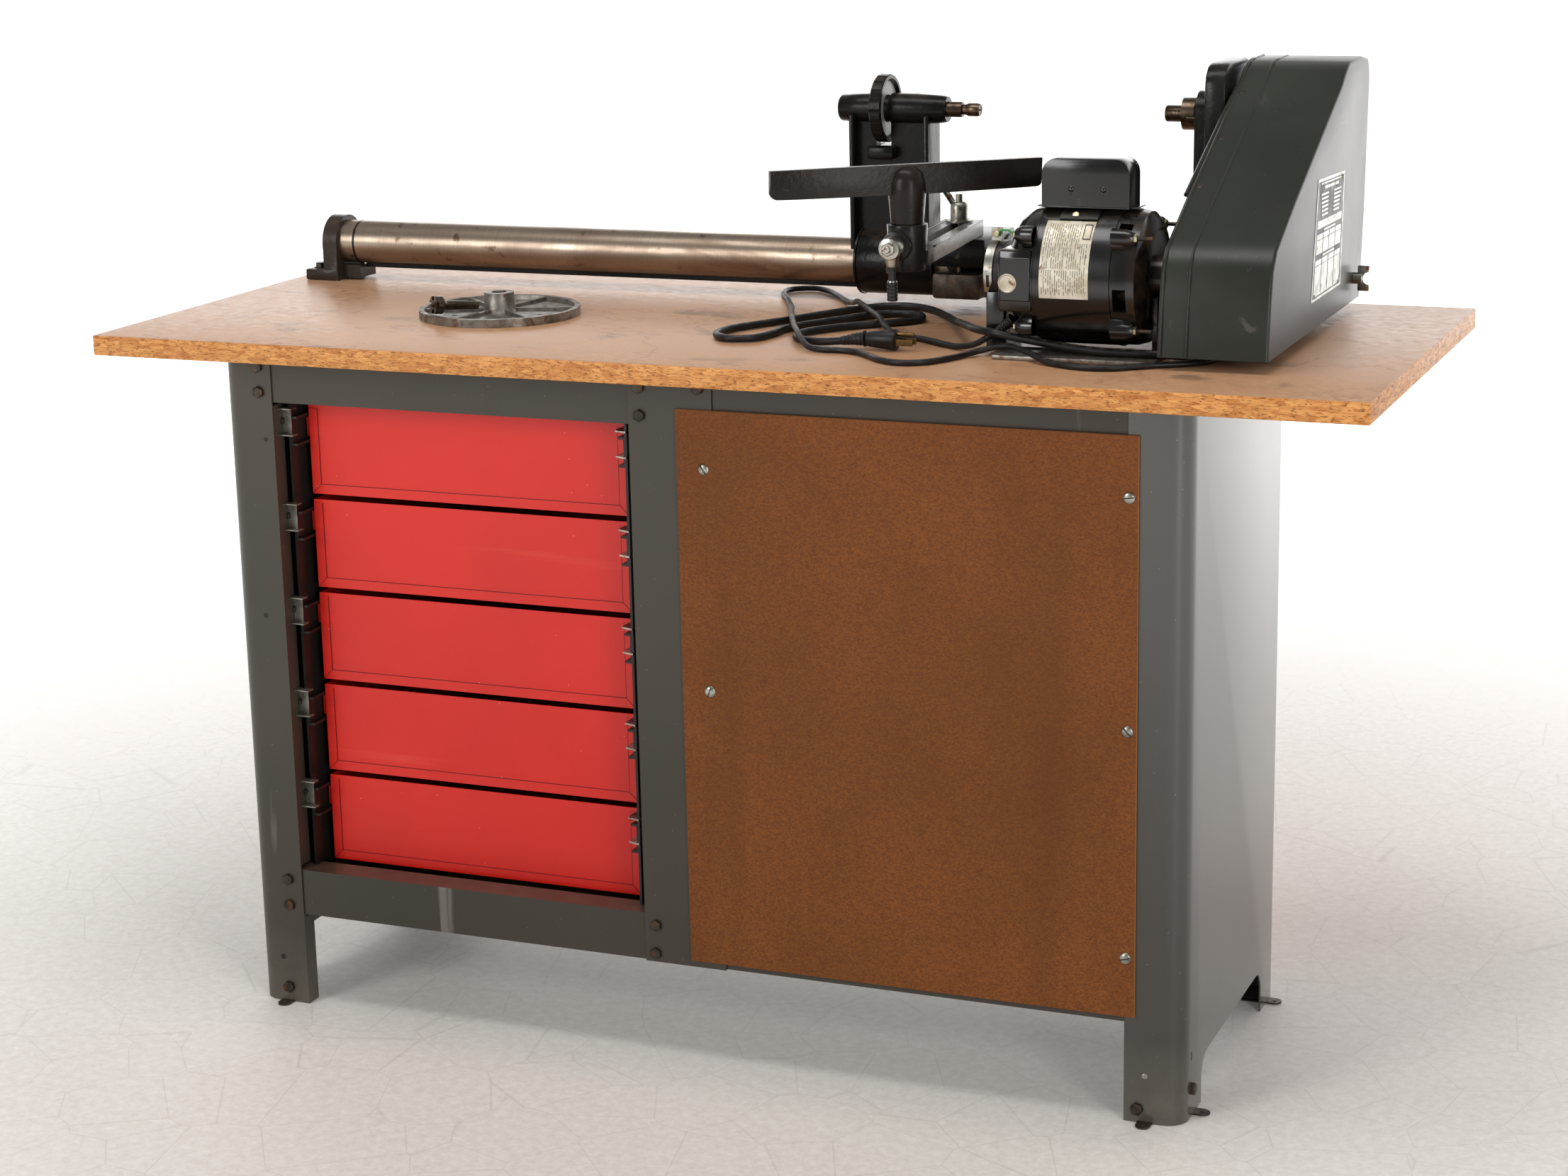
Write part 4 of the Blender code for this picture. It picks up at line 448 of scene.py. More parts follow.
LOOKS = {
    "board": board_look(),
    "cabinet": sheet_paint("cabinet_paint", (54, 50, 42), (66, 62, 53)),
    "panel": sheet_paint("panel_paint", (44, 42, 37), (54, 52, 46), (0.16, 0.26), 0.25, 0.6, 0.45),
    "rack": sheet_paint("rack_paint", (24, 23, 20), (34, 32, 28), scuff=0.1),
    "rail": rail_look(),
    "drawer": drawer_look(),
    "hardboard": hardboard_look(),
    "bed": bed_look(),
    "casting": casting_look(),
    "arm": arm_look(),
    "wheel": wheel_look(),
    "zinc": metal_look("zinc", (178, 177, 168), (126, 123, 112), (0.24, 0.42), rust=0.15),
    "steel": metal_look("bright_steel", (104, 90, 76), (62, 50, 40), rust=0.3, rust_tone=(70, 48, 34)),
    "bronze": metal_look("old_steel", (112, 98, 84), (64, 52, 42), rust=0.35, rust_tone=(78, 54, 38)),
    "head": casting_look("head_paint", (24, 25, 23), (36, 37, 34), dust=0.12),
    "foot": casting_look("foot_paint", (42, 35, 30), (60, 51, 45), dust=0.3),
    "rest": casting_look("rest_paint", (22, 18, 15), (36, 29, 24), dust=0.1),
    "brown": metal_look("brown_steel", (84, 74, 64), (48, 40, 34), (0.4, 0.6), rust=0.4, rust_tone=(74, 50, 34),
                        metallic=0.7),
    "alloy": metal_look("cast_aluminium", (206, 206, 202), (160, 160, 156), (0.28, 0.45)),
    "iron": metal_look("grey_iron", (152, 147, 138), (98, 93, 86), (0.34, 0.55), rust=0.3, metallic=0.8, marks=0.3),
    "black_bolt": metal_look("black_bolt", (70, 66, 60), (40, 36, 32), (0.35, 0.55), rust=0.45, metallic=0.8),
    "brass": metal_look("brass", (150, 122, 76), (92, 70, 44)),
    "nut": metal_look("yellow_zinc", (196, 186, 158), (132, 118, 92)),
    "seam": rubber_look("seam_red", (92, 10, 8), (120, 16, 12), 0.1),
    # The dark look: print on the plates, and painted shade in the strap's slot.
    "dark": rubber_look("dark_print_and_hole_shade", (6, 6, 6), (12, 12, 12), 0.05),
    "guard": guard_look(),
    "motor": motor_look(),
    "rubber": rubber_look(),
    "grip": rubber_look("grip_rubber", (20, 20, 20), (36, 36, 36), 0.2),
    "switch": rubber_look("switch_red", (170, 26, 20), (190, 40, 30), 0.2),
    "rail_end": metal_look("slide_steel", (150, 150, 142), (104, 102, 94), (0.3, 0.5), rust=0.2, metallic=0.7),
    "plate": metal_look("etched_plate", (198, 198, 194), (166, 166, 160), (0.32, 0.46), rust=0.08, metallic=0.85),
    "label": metal_look("label_metal", (206, 200, 184), (170, 158, 134), (0.35, 0.5), rust=0.12, metallic=0.35),
    "ink": rubber_look("plate_ink", (112, 106, 94), (136, 128, 112), 0.1),
    "green": rubber_look("wire_green", (36, 128, 52), (56, 150, 70), 0.3),
}

NODE_LOOKS = {
    "board": ["bench_top"],
    "panel": ["side_panel_right"],
    "cabinet": ["side_panel_left", "centre_post", "front_frame", "cabinet_floor"],
    "rack": ["slide_rack_left", "slide_rack_right"],
    "rail": ["rail_upper", "rail_lower"],
    "drawer": ["drawer_1", "drawer_2", "drawer_3", "drawer_4", "drawer_5", "cupboard_door"],
    "hardboard": ["back_panel"],
    "bed": ["bed_tube"],
    "casting": ["tailstock", "rest_base"],
    "head": ["headstock"],
    "foot": ["bed_foot"],
    "rest": ["tool_rest"],
    "arm": ["rest_arm"],
    "wheel": ["handwheel"],
    "zinc": ["rest_nut", "rest_lever", "rest_clamp_lever", "wing_screw"],
    "steel": ["spindle", "bearing_inboard", "bearing_outboard", "index_pin", "rest_stud", "rest_post", "motor_rotor"],
    "bronze": ["quill", "cup_centre", "spur_centre"],
    "brown": ["rest_jaw"],
    "alloy": ["spindle_pulley", "motor_pulley"],
    "iron": ["faceplate", "motor_plate", "motor_stator"],
    "guard": ["belt_cover", "guard_back", "cover_hinge"],
    "motor": ["motor_shell", "motor_bell_left", "motor_bell_right", "capacitor_cover", "motor_cradle", "switch_box"],
    "rubber": ["motor_ring", "drive_belt", "supply_cord", "motor_cord", "cord_plug"],
    "switch": ["switch_rocker"],
}


def smoothing():
    """A node group that closes the seams of a mesh and shades it smooth, but for its sharp edges."""
    group = bpy.data.node_groups.new("smooth_by_angle", "GeometryNodeTree")
    for way in ("INPUT", "OUTPUT"):
        group.interface.new_socket("Geometry", in_out=way, socket_type="NodeSocketGeometry")
    nodes = Nodes(group, "")
    mesh = nodes.node("NodeGroupInput").outputs[0]
    mesh = nodes.node("GeometryNodeMergeByDistance", {0: mesh, "Distance": 0.00002}).outputs[0]
    mesh = nodes.node("GeometryNodeRemoveAttribute", {0: mesh, "Name": "custom_normal"}).outputs[0]
    mesh = nodes.node("GeometryNodeSetShadeSmooth", {0: mesh}, domain="FACE").outputs[0]
    limits = {"A": nodes.node("GeometryNodeInputMeshEdgeAngle").outputs[0],
              "B": math.radians(NODE_EDGE_DEGREES)}
    sharp = nodes.node("FunctionNodeCompare", limits, operation="GREATER_THAN").outputs[0]
    edges = {0: mesh, "Selection": sharp, "Shade Smooth": False}
    nodes.node("NodeGroupOutput", {0: nodes.node("GeometryNodeSetShadeSmooth", edges,
                                                 domain="EDGE").outputs[0]})
    return group


def dress_nodes():
    smooth = smoothing()
    for look, names in NODE_LOOKS.items():
        for name in names:
            node = NODES[name]
            node.modifiers.new("smooth", "NODES").node_group = smooth
            node.data.materials.clear()
            node.data.materials.append(LOOKS[look].material)


# Geometry helpers
def aim(at, axis, up=UP):
    """A frame at a point whose Z is the axis and whose X is as near as it can be to up."""
    z = Vector(axis).normalized()
    x = Vector(up) - z * z.dot(Vector(up))
    if x.length < 1e-6:
        x = Vector(RIGHT) - z * z.x
    x.normalize()
    y = z.cross(x)
    turn = Matrix((x, y, z)).transposed().to_4x4()
    return Matrix.Translation(Vector(at)) @ turn


def along_x(x, centre, heading=1):
    """A frame at x on the line through a centre, whose Z is along X, or back along it."""
    return aim((x, centre.y, centre.z), (heading, 0, 0))


class Shape:
    """Solids gathered into one mesh, in the row frame."""

    def __init__(self):
        self.bm = bmesh.new()

    def block(self, low_corner, high_corner, matrix=None):
        low_corner = Vector(low_corner)
        high_corner = Vector(high_corner)
        size = Matrix.Diagonal((*(high_corner - low_corner), 1.0))
        place = Matrix.Translation((low_corner + high_corner) / 2) @ size
        bmesh.ops.create_cube(self.bm, size=1.0, matrix=(matrix or Matrix()) @ place)
        return self

    def turned(self, profile, matrix, sides=24, loop=False, ends=True, start=0.0):
        """Turns (radius, height) points about the matrix's Z, with flat ends unless it is a loop or a skin."""
        if ends and not loop and profile[0][0]:
            profile = [(0, profile[0][1]), *profile]
        if ends and not loop and profile[-1][0]:
            profile = [*profile, (0, profile[-1][1])]
        rings = []
        for radius, height in profile:
            if radius < 1e-7:
                rings.append([self.bm.verts.new(matrix @ Vector((0, 0, height)))])
                continue
            turns = [start + 2 * math.pi * k / sides for k in range(sides)]
            rings.append([self.bm.verts.new(matrix @ Vector((radius * math.cos(a), radius * math.sin(a),
                                                             height))) for a in turns ])
        pairs = list(zip(rings, rings[1:]))
        if loop:
            pairs.append((rings[-1], rings[0]))
        for first, second in pairs:
            for k in range(sides):
                corners = [first[k % len(first)], first[(k + 1) % len(first)], second[(k + 1) % len(second)],
                           second[k % len(second)]]
                corners = list(dict.fromkeys(corners))
                if len(corners) > 2:
                    self.bm.faces.new(corners)
        return self

    def bolt(self, at, axis, across=0.01, height=0.0042, washer=0.0, turn=0.0):
        """A hexagon head, chamfered, on a washer if one is asked for."""
        place = aim(at, axis)
        lift = 0.0
        if washer:
            self.turned([(washer, 0), (washer, 0.001), (washer * 0.94, 0.0013)], place, 24)
            lift = 0.0013
        radius = across / math.sqrt(3)
        self.turned([(radius, lift), (radius, lift + height * 0.82), (radius * 0.86, lift + height)], place,
                    6, start=turn)
        return self

    def dome(self, at, axis, radius, height, sides=20):
        place = aim(at, axis)
        steps = 5
        profile = [(radius, 0)]
        for k in range(1, steps + 1):
            a = math.pi / 2 * k / steps
            profile.append((radius * math.cos(a) if k < steps else 0.0, height * math.sin(a)))
        return self.turned(profile, place, sides)

    def loft(self, rows):
        """Sections with as many points each, joined one to the next and capped at both ends."""
        rings = [[self.bm.verts.new(point) for point in row] for row in rows]
        self.bm.faces.new(rings[0][::-1])
        self.bm.faces.new(rings[-1])
        for a, b in zip(rings, rings[1:]):
            for k in range(len(a)):
                j = (k + 1) % len(a)
                self.bm.faces.new((a[k], a[j], b[j], b[k]))
        return self

    def strip(self, outline, start, end, place):
        """A flat outline, as (x, y) points, thickened from start to end along the matrix's Z."""
        return self.loft([[place @ Vector((x, y, z)) for x, y in outline] for z in (start, end)])

    def piece(self, name, look, body, edge=0.0):
        bmesh.ops.recalc_face_normals(self.bm, faces=self.bm.faces)
        mesh = bpy.data.meshes.new(name)
        self.bm.to_mesh(mesh)
        self.bm.free()
        mesh.shade_smooth()
        mesh.set_sharp_from_angle(angle=math.radians(PIECE_EDGE_DEGREES))
        return finished(bpy.data.objects.new(name, mesh), look, body, edge)


def finished(obj, look, body, edge=0.0):
    bpy.context.scene.collection.objects.link(obj)
    look = LOOKS[look] if isinstance(look, str) else look
    obj.data.materials.append(look.material)
    if edge:
        modifier = obj.modifiers.new("edges", "BEVEL")
        modifier.width = edge
        modifier.segments = 2
        modifier.limit_method = "ANGLE"
    if body:
        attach(obj, body)
    return obj


def wire(name, points, radius, look, body):
    """A round wire or bead along a smooth line through the points."""
    curve = bpy.data.curves.new(name, "CURVE")
    curve.dimensions = "3D"
    curve.bevel_depth = radius
    curve.bevel_resolution = 3
    curve.use_fill_caps = True
    curve.resolution_u = 8
    spline = curve.splines.new("BEZIER")
    spline.bezier_points.add(len(points) - 1)
    for point, place in zip(spline.bezier_points, points):
        point.co = Vector(place)
        point.handle_left_type = "AUTO"
        point.handle_right_type = "AUTO"
    return finished(bpy.data.objects.new(name, curve), look, body)


# Camera, floor and light
def camera():
    yaw = 0.3904
    pitch = 0.2506
    roll = -0.0212
    ahead = Vector((-math.sin(yaw) * math.cos(pitch), math.cos(yaw) * math.cos(pitch), -math.sin(pitch)))
    side = Vector((math.cos(yaw), math.sin(yaw), 0))
    top = side.cross(ahead)
    right = side * math.cos(roll) + top * math.sin(roll)
    up = top * math.cos(roll) - side * math.sin(roll)
    data = bpy.data.cameras.new("camera")
    data.sensor_width = 36.0
    data.lens = 70.4
    data.clip_end = 50.0
    made = bpy.data.objects.new("camera", data)
    bpy.context.scene.collection.objects.link(made)
    turn = Matrix((right, up, -ahead)).transposed().to_4x4()
    made.matrix_world = Matrix.Translation((1.3656, -3.3318, 1.4419)) @ turn
    bpy.context.scene.camera = made


def studio_floor():
    """A pale mottled floor that glows faintly near the bench, a painted light that lifts the shadows there, and turns
    into an even glow away from the bench.
    """
    look = Look("studio_floor", 0.6)
    mottle = look.ramp(look.noise(75, 10, rough=0.78), (0.38, 0.0), (0.64, 1.0))
    cracks = look.ramp(look.cells(9, feature="DISTANCE_TO_EDGE"), (0.004, 0.3), (0.01, 0.0))
    pale = look.mix(mottle, (212, 206, 198), (230, 226, 220))
    look.colour(look.mix(cracks, pale, (176, 170, 160)))
    away = look.node("VectorMath", {0: look.place}, operation="LENGTH")
    look.inputs["Emission Color"].default_value = (1.0, 0.995, 0.985, 1.0)
    # Emission 0.05 close to the bench is painted light that lightens the shadows there; further out the floor glows
    # as an even backdrop.
    look.feed(look.inputs["Emission Strength"], look.span(away.outputs["Value"], 0.9, 3.6, 0.05, 1.0))
    Shape().block((-25, -25, -0.02), (25, 25, -0.0005)).piece("studio_floor", look, None)


def sky():
    """White light, weaker from the near side and from above."""
    world = bpy.data.worlds.new("studio")
    world.use_nodes = True
    nodes = Nodes(world.node_tree)
    background = world.node_tree.nodes["Background"].inputs
    background["Color"].default_value = (1.0, 1.0, 1.0, 1.0)
    way = nodes.node("SeparateXYZ", {0: nodes.node("TexCoord").outputs["Generated"]}).outputs
    behind = nodes.span(way["Y"], -0.3, 0.6, 0.0, 0.82)
    above = nodes.span(way["Z"], 0.22, 0.62, 1.0, 0.1)
    nodes.feed(background["Strength"], nodes.sum(nodes.times(behind, above), 0.24))
    bpy.context.scene.world = world


def lamps():
    """Each lamp is its name, its place, what it points at, its width and height and its power."""
    for name, place, target, width, height, power in (
            ("backdrop", (-1.0, 5.6, 2.0), (-1.0, 0.0, 1.6), 12.0, 4.2, 230.0),
            ("overhead", (0.0, -0.6, 3.4), (0.0, 0.0, 0.8), 2.6, 1.0, 42.0),
            ("key", (-2.4, -4.4, 2.4), (0.0, 0.0, 0.6), 1.6, 2.0, 96.0),
            ("fill", (3.4, -3.2, 1.6), (0.4, 0.0, 0.5), 1.0, 2.4, 58.0)):
        data = bpy.data.lights.new(name, "AREA")
        data.shape = "RECTANGLE"
        data.size = width
        data.size_y = height
        data.energy = power
        lamp = bpy.data.objects.new(name, data)
        bpy.context.scene.collection.objects.link(lamp)
        lamp.location = place
        lamp.rotation_euler = (Vector(target) - lamp.location).to_track_quat("-Z", "Y").to_euler()
    bpy.context.scene.view_settings.view_transform = "Standard"


# Bench details
def bench_details():
    bolts = Shape()
    for x, z in ((-0.576, 0.776), (-0.5765, 0.8065), (-0.578, 0.1625), (-0.578, 0.129), (-0.0783, 0.807),
                 (-0.078, 0.775), (-0.0776, 0.163), (-0.0788, 0.128), (-0.0052, 0.8095)):
        bolts.bolt((x, FACE_Y, z), NEAR, 0.0125, 0.0045, turn=x * 40)
    for x, z in ((-0.586, 0.0197), (0.5086, 0.0163)):
        bolts.bolt((x, FACE_Y, z), NEAR, 0.013, 0.005, turn=0.3)
    front_y = high("side_panel_left").y
    for x in (-0.577, 0.511):
        for z in (0.806, 0.776, 0.1625, 0.129):
            bolts.bolt((x, front_y, z), (0, 1, 0), 0.0125, 0.0045, turn=z * 9)
    bolts.piece("cabinet_bolts", "black_bolt", "frame")
    side_x = high("side_panel_right").x
    Shape().bolt((side_x, -0.21, 0.035), RIGHT, 0.013, 0.0055).piece("rusty_bolt", "brown", "frame")
    # marks: dark discs and a small dark patch where the sheet has holes, painted shade standing in for the dark
    # inside.
    marks = Shape()
    for x, z, radius in ((-0.5925, 0.0586, 0.0035), (-0.586, 0.5, 0.003), (-0.5705, 0.7185, 0.0028)):
        marks.turned([(radius, 0), (radius, 0.0002)], aim((x, FACE_Y, z), NEAR), 16)
    marks.block((side_x - 0.0001, -0.212, 0.069), (side_x + 0.0002, -0.208, 0.079))
    marks.piece("cabinet_hole_shade", "grip", "frame")
    Shape().dome((0.517, FACE_Y, 0.056), NEAR, 0.0036, 0.001, 14).piece("panel_rivet", "zinc", "frame")
    panel_y = low("back_panel").y
    heads = Shape()
    # slots: dark bars across the screw heads, painted shade in their slots.
    screw_slot_shade = Shape()
    for index, (x, z) in enumerate(((0.001, 0.718), (0.4954, 0.7177), (0.0018, 0.458), (0.4955, 0.4573),
                                    (0.4949, 0.195))):
        heads.dome((x, panel_y, z), NEAR, 0.0068, 0.0026)
        place = aim((x, panel_y - 0.0026, z), NEAR) @ Matrix.Rotation(0.6 + index * 1.1, 4, "Z")
        screw_slot_shade.block((-0.0062, -0.0006, -0.0008), (0.0062, 0.0006, 0.0003), place)
    heads.piece("panel_screws", "zinc", "frame")
    screw_slot_shade.piece("panel_screw_slot_shade", "grip", "frame")
    foot_tabs(side_x)
    slide_details()
    drawer_details()


def foot_tabs(side_x):
    """Round-ended zinc tabs that stick out from under the feet."""
    tabs = Shape()
    for x, y, heading in ((-0.5885, FACE_Y, -90), (0.518, FACE_Y, -90), (side_x, -0.195, 0),
                          (side_x, 0.155, 0)):
        place = Matrix.Translation((x, y, 0.0)) @ Matrix.Rotation(math.radians(heading), 4, "Z")
        outline = [(-0.03, -0.0085), (0.01, -0.0085)]
        outline += [(0.01 + 0.0085 * math.cos(a), 0.0085 * math.sin(a)) for a in
                    [math.radians(-75 + 30 * k) for k in range(6)]]
        outline += [(0.01, 0.0085), (-0.03, 0.0085)]
        tabs.strip(outline, 0.0002, 0.002, place)
        tabs.dome(place @ Vector((0.01, 0, 0.002)), UP, 0.003, 0.0006, 12)
    tabs.piece("foot_tabs", "brown", "frame", 0.0003)


def slide_details():
    """The bare slide ends beside each drawer: a channel with its bolt, and the pointed tips across."""
    ends = Shape()
    bolts = Shape()
    tips = Shape()
    left = low("slide_rack_left").x
    right = high("slide_rack_right").x
    for index in range(5):
        rear = low(f"drawer_{index + 1}").y - 0.029
        z = low(f"drawer_{index + 1}").z + 0.095
        ends.block((left - 0.024, rear - 0.0015, z - 0.0165), (left + 0.006, rear, z + 0.0165))
        for side in (-1, 1):
            lip = z + side * 0.016
            ends.block((left - 0.024, rear - 0.012, lip - 0.0008), (left + 0.013, rear, lip + 0.0008))
        ends.block((left - 0.024, rear - 0.012, z - 0.0165), (left - 0.0226, rear, z + 0.0165))
        bolts.bolt((left - 0.008, rear - 0.0015, z), NEAR, 0.01, 0.0045, turn=index)
        for side in (-1, 1):
            place = Matrix.Translation((right - 0.016, rear + 0.004, z - 0.004 + side * 0.015))
            tips.strip([(0.0, 0.0), (0.016, -0.006), (0.016, 0.03), (0.0, 0.03)], -0.0012, 0.0012, place)
    ends.piece("slide_ends", "rail_end", "frame", 0.0004)
    bolts.piece("slide_bolts", "black_bolt", "frame")
    tips.piece("slide_tips", "zinc", "frame", 0.0003)


def drawer_details():
    """The drawers' backs: hemmed edges laid over the panel, with fine dark mitred seams."""
    hem = 0.012
    for index in range(5):
        name = f"drawer_{index + 1}"
        first = low(name)
        last = high(name)
        left = first.x + 0.012
        right = last.x - 0.012
        bottom = first.z + 0.0005
        top = first.z + 0.1055
        rear = first.y
        rim = Shape()
        seams = Shape()
        place = Matrix(((1, 0, 0, 0), (0, 0, -1, rear), (0, 1, 0, 0), (0, 0, 0, 1)))
        corner = [(left, bottom), (right, bottom), (right - hem, bottom + hem), (left + hem, bottom + hem)]
        rim.strip(corner, 0.0, 0.0007, place)
        rim.strip([(left, bottom + 0.0006), (left + hem, bottom + hem + 0.0006), (left + hem, top),
                   (left, top)], 0.0, 0.0007, place)
        rim.strip([(right, bottom + 0.0006), (right, top), (right - hem, top),
                   (right - hem, bottom + hem + 0.0006)], 0.0, 0.0007, place)
        rim.piece(f"drawer_hem_{index + 1}", "drawer", f"drawer_{index + 1}_body", 0.0003)
        lines = ((corner[3], (left + hem, top)), (corner[3], corner[2]), (corner[0], corner[3]),
                 (corner[1], corner[2]), (corner[2], (right - hem, top)))
        for a, b in lines:
            run = (Vector(b) - Vector(a)).normalized() * 0.00035
            side = Vector((-run.y, run.x))
            outline = [Vector(a) - side, Vector(b) - side, Vector(b) + side, Vector(a) + side]
            seams.strip([tuple(v) for v in outline], 0.0, 0.00085, place)
        seams.piece(f"drawer_seams_{index + 1}", "seam", f"drawer_{index + 1}_body")


def bed_details():
    key = Shape()
    key.block((-0.665, BED.y - 0.0045, BED.z - 0.033), (0.445, BED.y + 0.0045, BED.z - 0.026))
    key.piece("bed_key", "casting", "frame", 0.0008)
    bolts = Shape()
    for side in (-1, 1):
        bolts.bolt((-0.725, BED.y + side * 0.019, BENCH_Z + 0.0145), UP, 0.0125, 0.0058, washer=0.0085)
    bolts.bolt((-0.676, BED.y, BENCH_Z + 0.0193), UP, 0.011, 0.004)
    for x, y in ((0.448, -0.047), (0.448, 0.05), (0.496, 0.053)):
        bolts.bolt((x, BED.y + y, BENCH_Z + 0.014), UP, 0.012, 0.0055, washer=0.008)
    bolts.piece("hold_down_bolts", "black_bolt", "frame")
    ring = [(0.0236, 0), (0.0279, 0), (0.0279, 0.0028), (0.0236, 0.0028)]
    place = along_x(low("bed_tube").x + 0.0195, BED)
    Shape().turned(ring, place, 48, loop=True).piece("bed_end_ring", "casting", "frame")


def spindle_details():
    """The nose's thread, as fine rings, the grub screw in the collar and the head's cap screws."""
    thread = Shape()
    place = along_x(SPINDLE.x, SPINDLE)
    profile = [(0.009, 0.0015)]
    z = 0.002
    while z < 0.02:
        profile += [(0.00985, z), (0.0091, z + 0.0008)]
        z += 0.0016
    profile.append((0.009, 0.0206))
    thread.turned(profile, place, 36, ends=False)
    thread.piece("nose_thread", "steel", "spindle_body")
    socket = [(0.0024, 0), (0.0024, 0.0006), (0.0012, 0.0006), (0.0012, 0.0001)]
    place = aim((0.4445, SPINDLE.y - 0.019, SPINDLE.z), NEAR)
    Shape().turned(socket, place, 16).piece("collar_screw", "black_bolt", "spindle_body")
    screws = Shape()
    for y, z in ((0.15, 1.05), (0.15, 1.11), (0.225, 1.11), (0.225, 1.05)):
        place = aim((0.4751, y, z), (-1, 0, 0))
        screws.turned([(0.0042, 0), (0.0042, 0.003), (0.0038, 0.0036), (0.0022, 0.0036), (0.0022, 0.0018)],
                      place, 20)
    screws.piece("head_screws", "black_bolt", "frame")


def guard_details():
    """Rivets by the hinge and the shallow raised seam round the cover."""
    slope = high("cover_hinge") - low("cover_hinge")
    out = Vector((0, -slope.z, slope.y)).normalized()
    rivets = Shape()
    for y, z in ((0.1349, 1.1118), (0.0424, 1.0691), (-0.05, 1.0265)):
        rivets.dome(Vector((0.517, y, z)) - out * 0.0002, out, 0.0042, 0.0011, 18)
    rivets.piece("hinge_rivets", "black_bolt", "cover_body")
    seam = ((-0.19, 0.862), (-0.1862, 0.89), (-0.1805, 0.92), (-0.1725, 0.955), (-0.159, 0.972),
            (-0.138, 0.983), (-0.104, 0.9999), (-0.0685, 1.018), (-0.03, 1.0357), (0.04, 1.068),
            (0.11, 1.1003), (0.1506, 1.119), (0.172, 1.133), (0.195, 1.142), (0.228, 1.1425), (0.262, 1.143))
    wire("cover_seam", [(0.54, y, z) for y, z in seam], 0.0012, "guard", "cover_body")
    wire("cover_rim", [(GUARD_BACK + 0.003, y, z) for y, z in seam], 0.0016, "guard", "cover_body")
    speed_plate()


def speed_plate():
    """The speed plate on the cover's end: brushed metal with plain dark blocks and ruled rows for a chart."""
    corners = ((0.0361, 1.0257), (0.1736, 1.0208), (0.1618, 0.8908), (0.0106, 0.8913))

    def at(u, v, lift):
        top = Vector(corners[0]).lerp(Vector(corners[1]), u)
        bottom = Vector(corners[3]).lerp(Vector(corners[2]), u)
        return Vector((GUARD_END + lift, *top.lerp(bottom, v)))

    def patch(shape, u0, v0, u1, v1, lift, thick=0.0002):
        corners_uv = ((u0, v0), (u1, v0), (u1, v1), (u0, v1))
        shape.loft([[at(u, v, height) for u, v in corners_uv] for height in (lift, lift + thick)])

    border = Shape()
    patch(border, 0.0, 0.0, 1.0, 1.0, 0.0, 0.0006)
    border.piece("speed_plate", "plate", "cover_body", 0.0003)
    dark = Shape()
    for u0, v0, u1, v1 in ((0.035, 0.025, 0.965, 0.036), (0.035, 0.964, 0.965, 0.975),
                           (0.035, 0.036, 0.055, 0.964), (0.945, 0.036, 0.965, 0.964),
                           (0.075, 0.05, 0.925, 0.345), (0.075, 0.41, 0.925, 0.455),
                           (0.075, 0.62, 0.925, 0.665)):
        patch(dark, u0, v0, u1, v1, 0.0006)
    for column in (0.28, 0.5, 0.72):
        patch(dark, column, 0.455, column + 0.008, 0.62, 0.0006)
        patch(dark, column, 0.665, column + 0.008, 0.955, 0.0006)
    for v in (0.5, 0.71):
        patch(dark, 0.075, v, 0.925, v + 0.004, 0.0006)
    dark.piece("speed_plate_print", "dark", "cover_body")
    light = Shape()
    patch(light, 0.24, 0.068, 0.76, 0.092, 0.0008)
    for row in range(6):
        v = 0.125 + row * 0.034
        patch(light, 0.13 + 0.012 * row, v, 0.4, v + 0.017, 0.0008)
        patch(light, 0.6, v, 0.87 - 0.012 * row, v + 0.017, 0.0008)
    for v in (0.424, 0.634):
        patch(light, 0.3, v, 0.7, v + 0.016, 0.0008)
    light.piece("speed_plate_rows", "plate", "cover_body")
    pins = Shape()
    for u, v in ((0.1, 0.045), (0.9, 0.045), (0.1, 0.955), (0.9, 0.955)):
        pins.dome(at(u, v, 0.0008), RIGHT, 0.002, 0.001, 12)
    pins.piece("speed_plate_pins", "zinc", "cover_body")


def on_motor(x, degrees, lift=0.0):
    """A point on the motor's shell and the way out from it; 180 degrees is straight at -Y, 270 is down."""
    a = math.radians(degrees)
    out = Vector((0, math.cos(a), math.sin(a)))
    return Vector((x, MOTOR.y, MOTOR.z)) + out * (MOTOR_R + lift), out


def curved_patch(shape, x0, x1, first, last, lift, thick=0.0003, steps=10):
    """Adds a thin patch bent round the motor's shell, between two angles."""
    rows = []
    for k in range(steps + 1):
        angle = first + (last - first) * k / steps
        lower, out = on_motor(x0, angle, lift)
        upper = lower + out * thick
        far = Vector((x1 - x0, 0, 0))
        rows.append((lower, upper, upper + far, lower + far))
    return shape.loft(rows)


def motor_nameplate():
    """The pale nameplate, with rows of plain dashes for its print and one empty bordered block."""
    curved_patch(Shape(), 0.374, 0.429, 123, 192, 0.0001, steps=16).piece("motor_nameplate", "label", "frame")
    rows = Shape()
    for row in range(20):
        x = 0.3765 + row * 0.0025
        angle = 126.5 if row < 16 else 146.0
        step = 0
        while angle < 187.0:
            run = 2.5 + (row * 7 + step * 5) % 6 * 1.3
            if (row * 3 + step) % 7:
                curved_patch(rows, x, x + 0.0009, angle, min(angle + run, 189.0), 0.0004, 0.00008, 3)
            angle += run + 1.3
            step += 1
    rows.piece("nameplate_rows", "ink", "frame")
    block = Shape()
    for x0, x1, first, last in ((0.418, 0.427, 126.5, 127.6), (0.418, 0.427, 141.0, 142.1),
                                (0.418, 0.419, 127.6, 141.0), (0.426, 0.427, 127.6, 141.0)):
        curved_patch(block, x0, x1, first, last, 0.0004, 0.00012, 4)
    block.piece("nameplate_block", "dark", "frame")


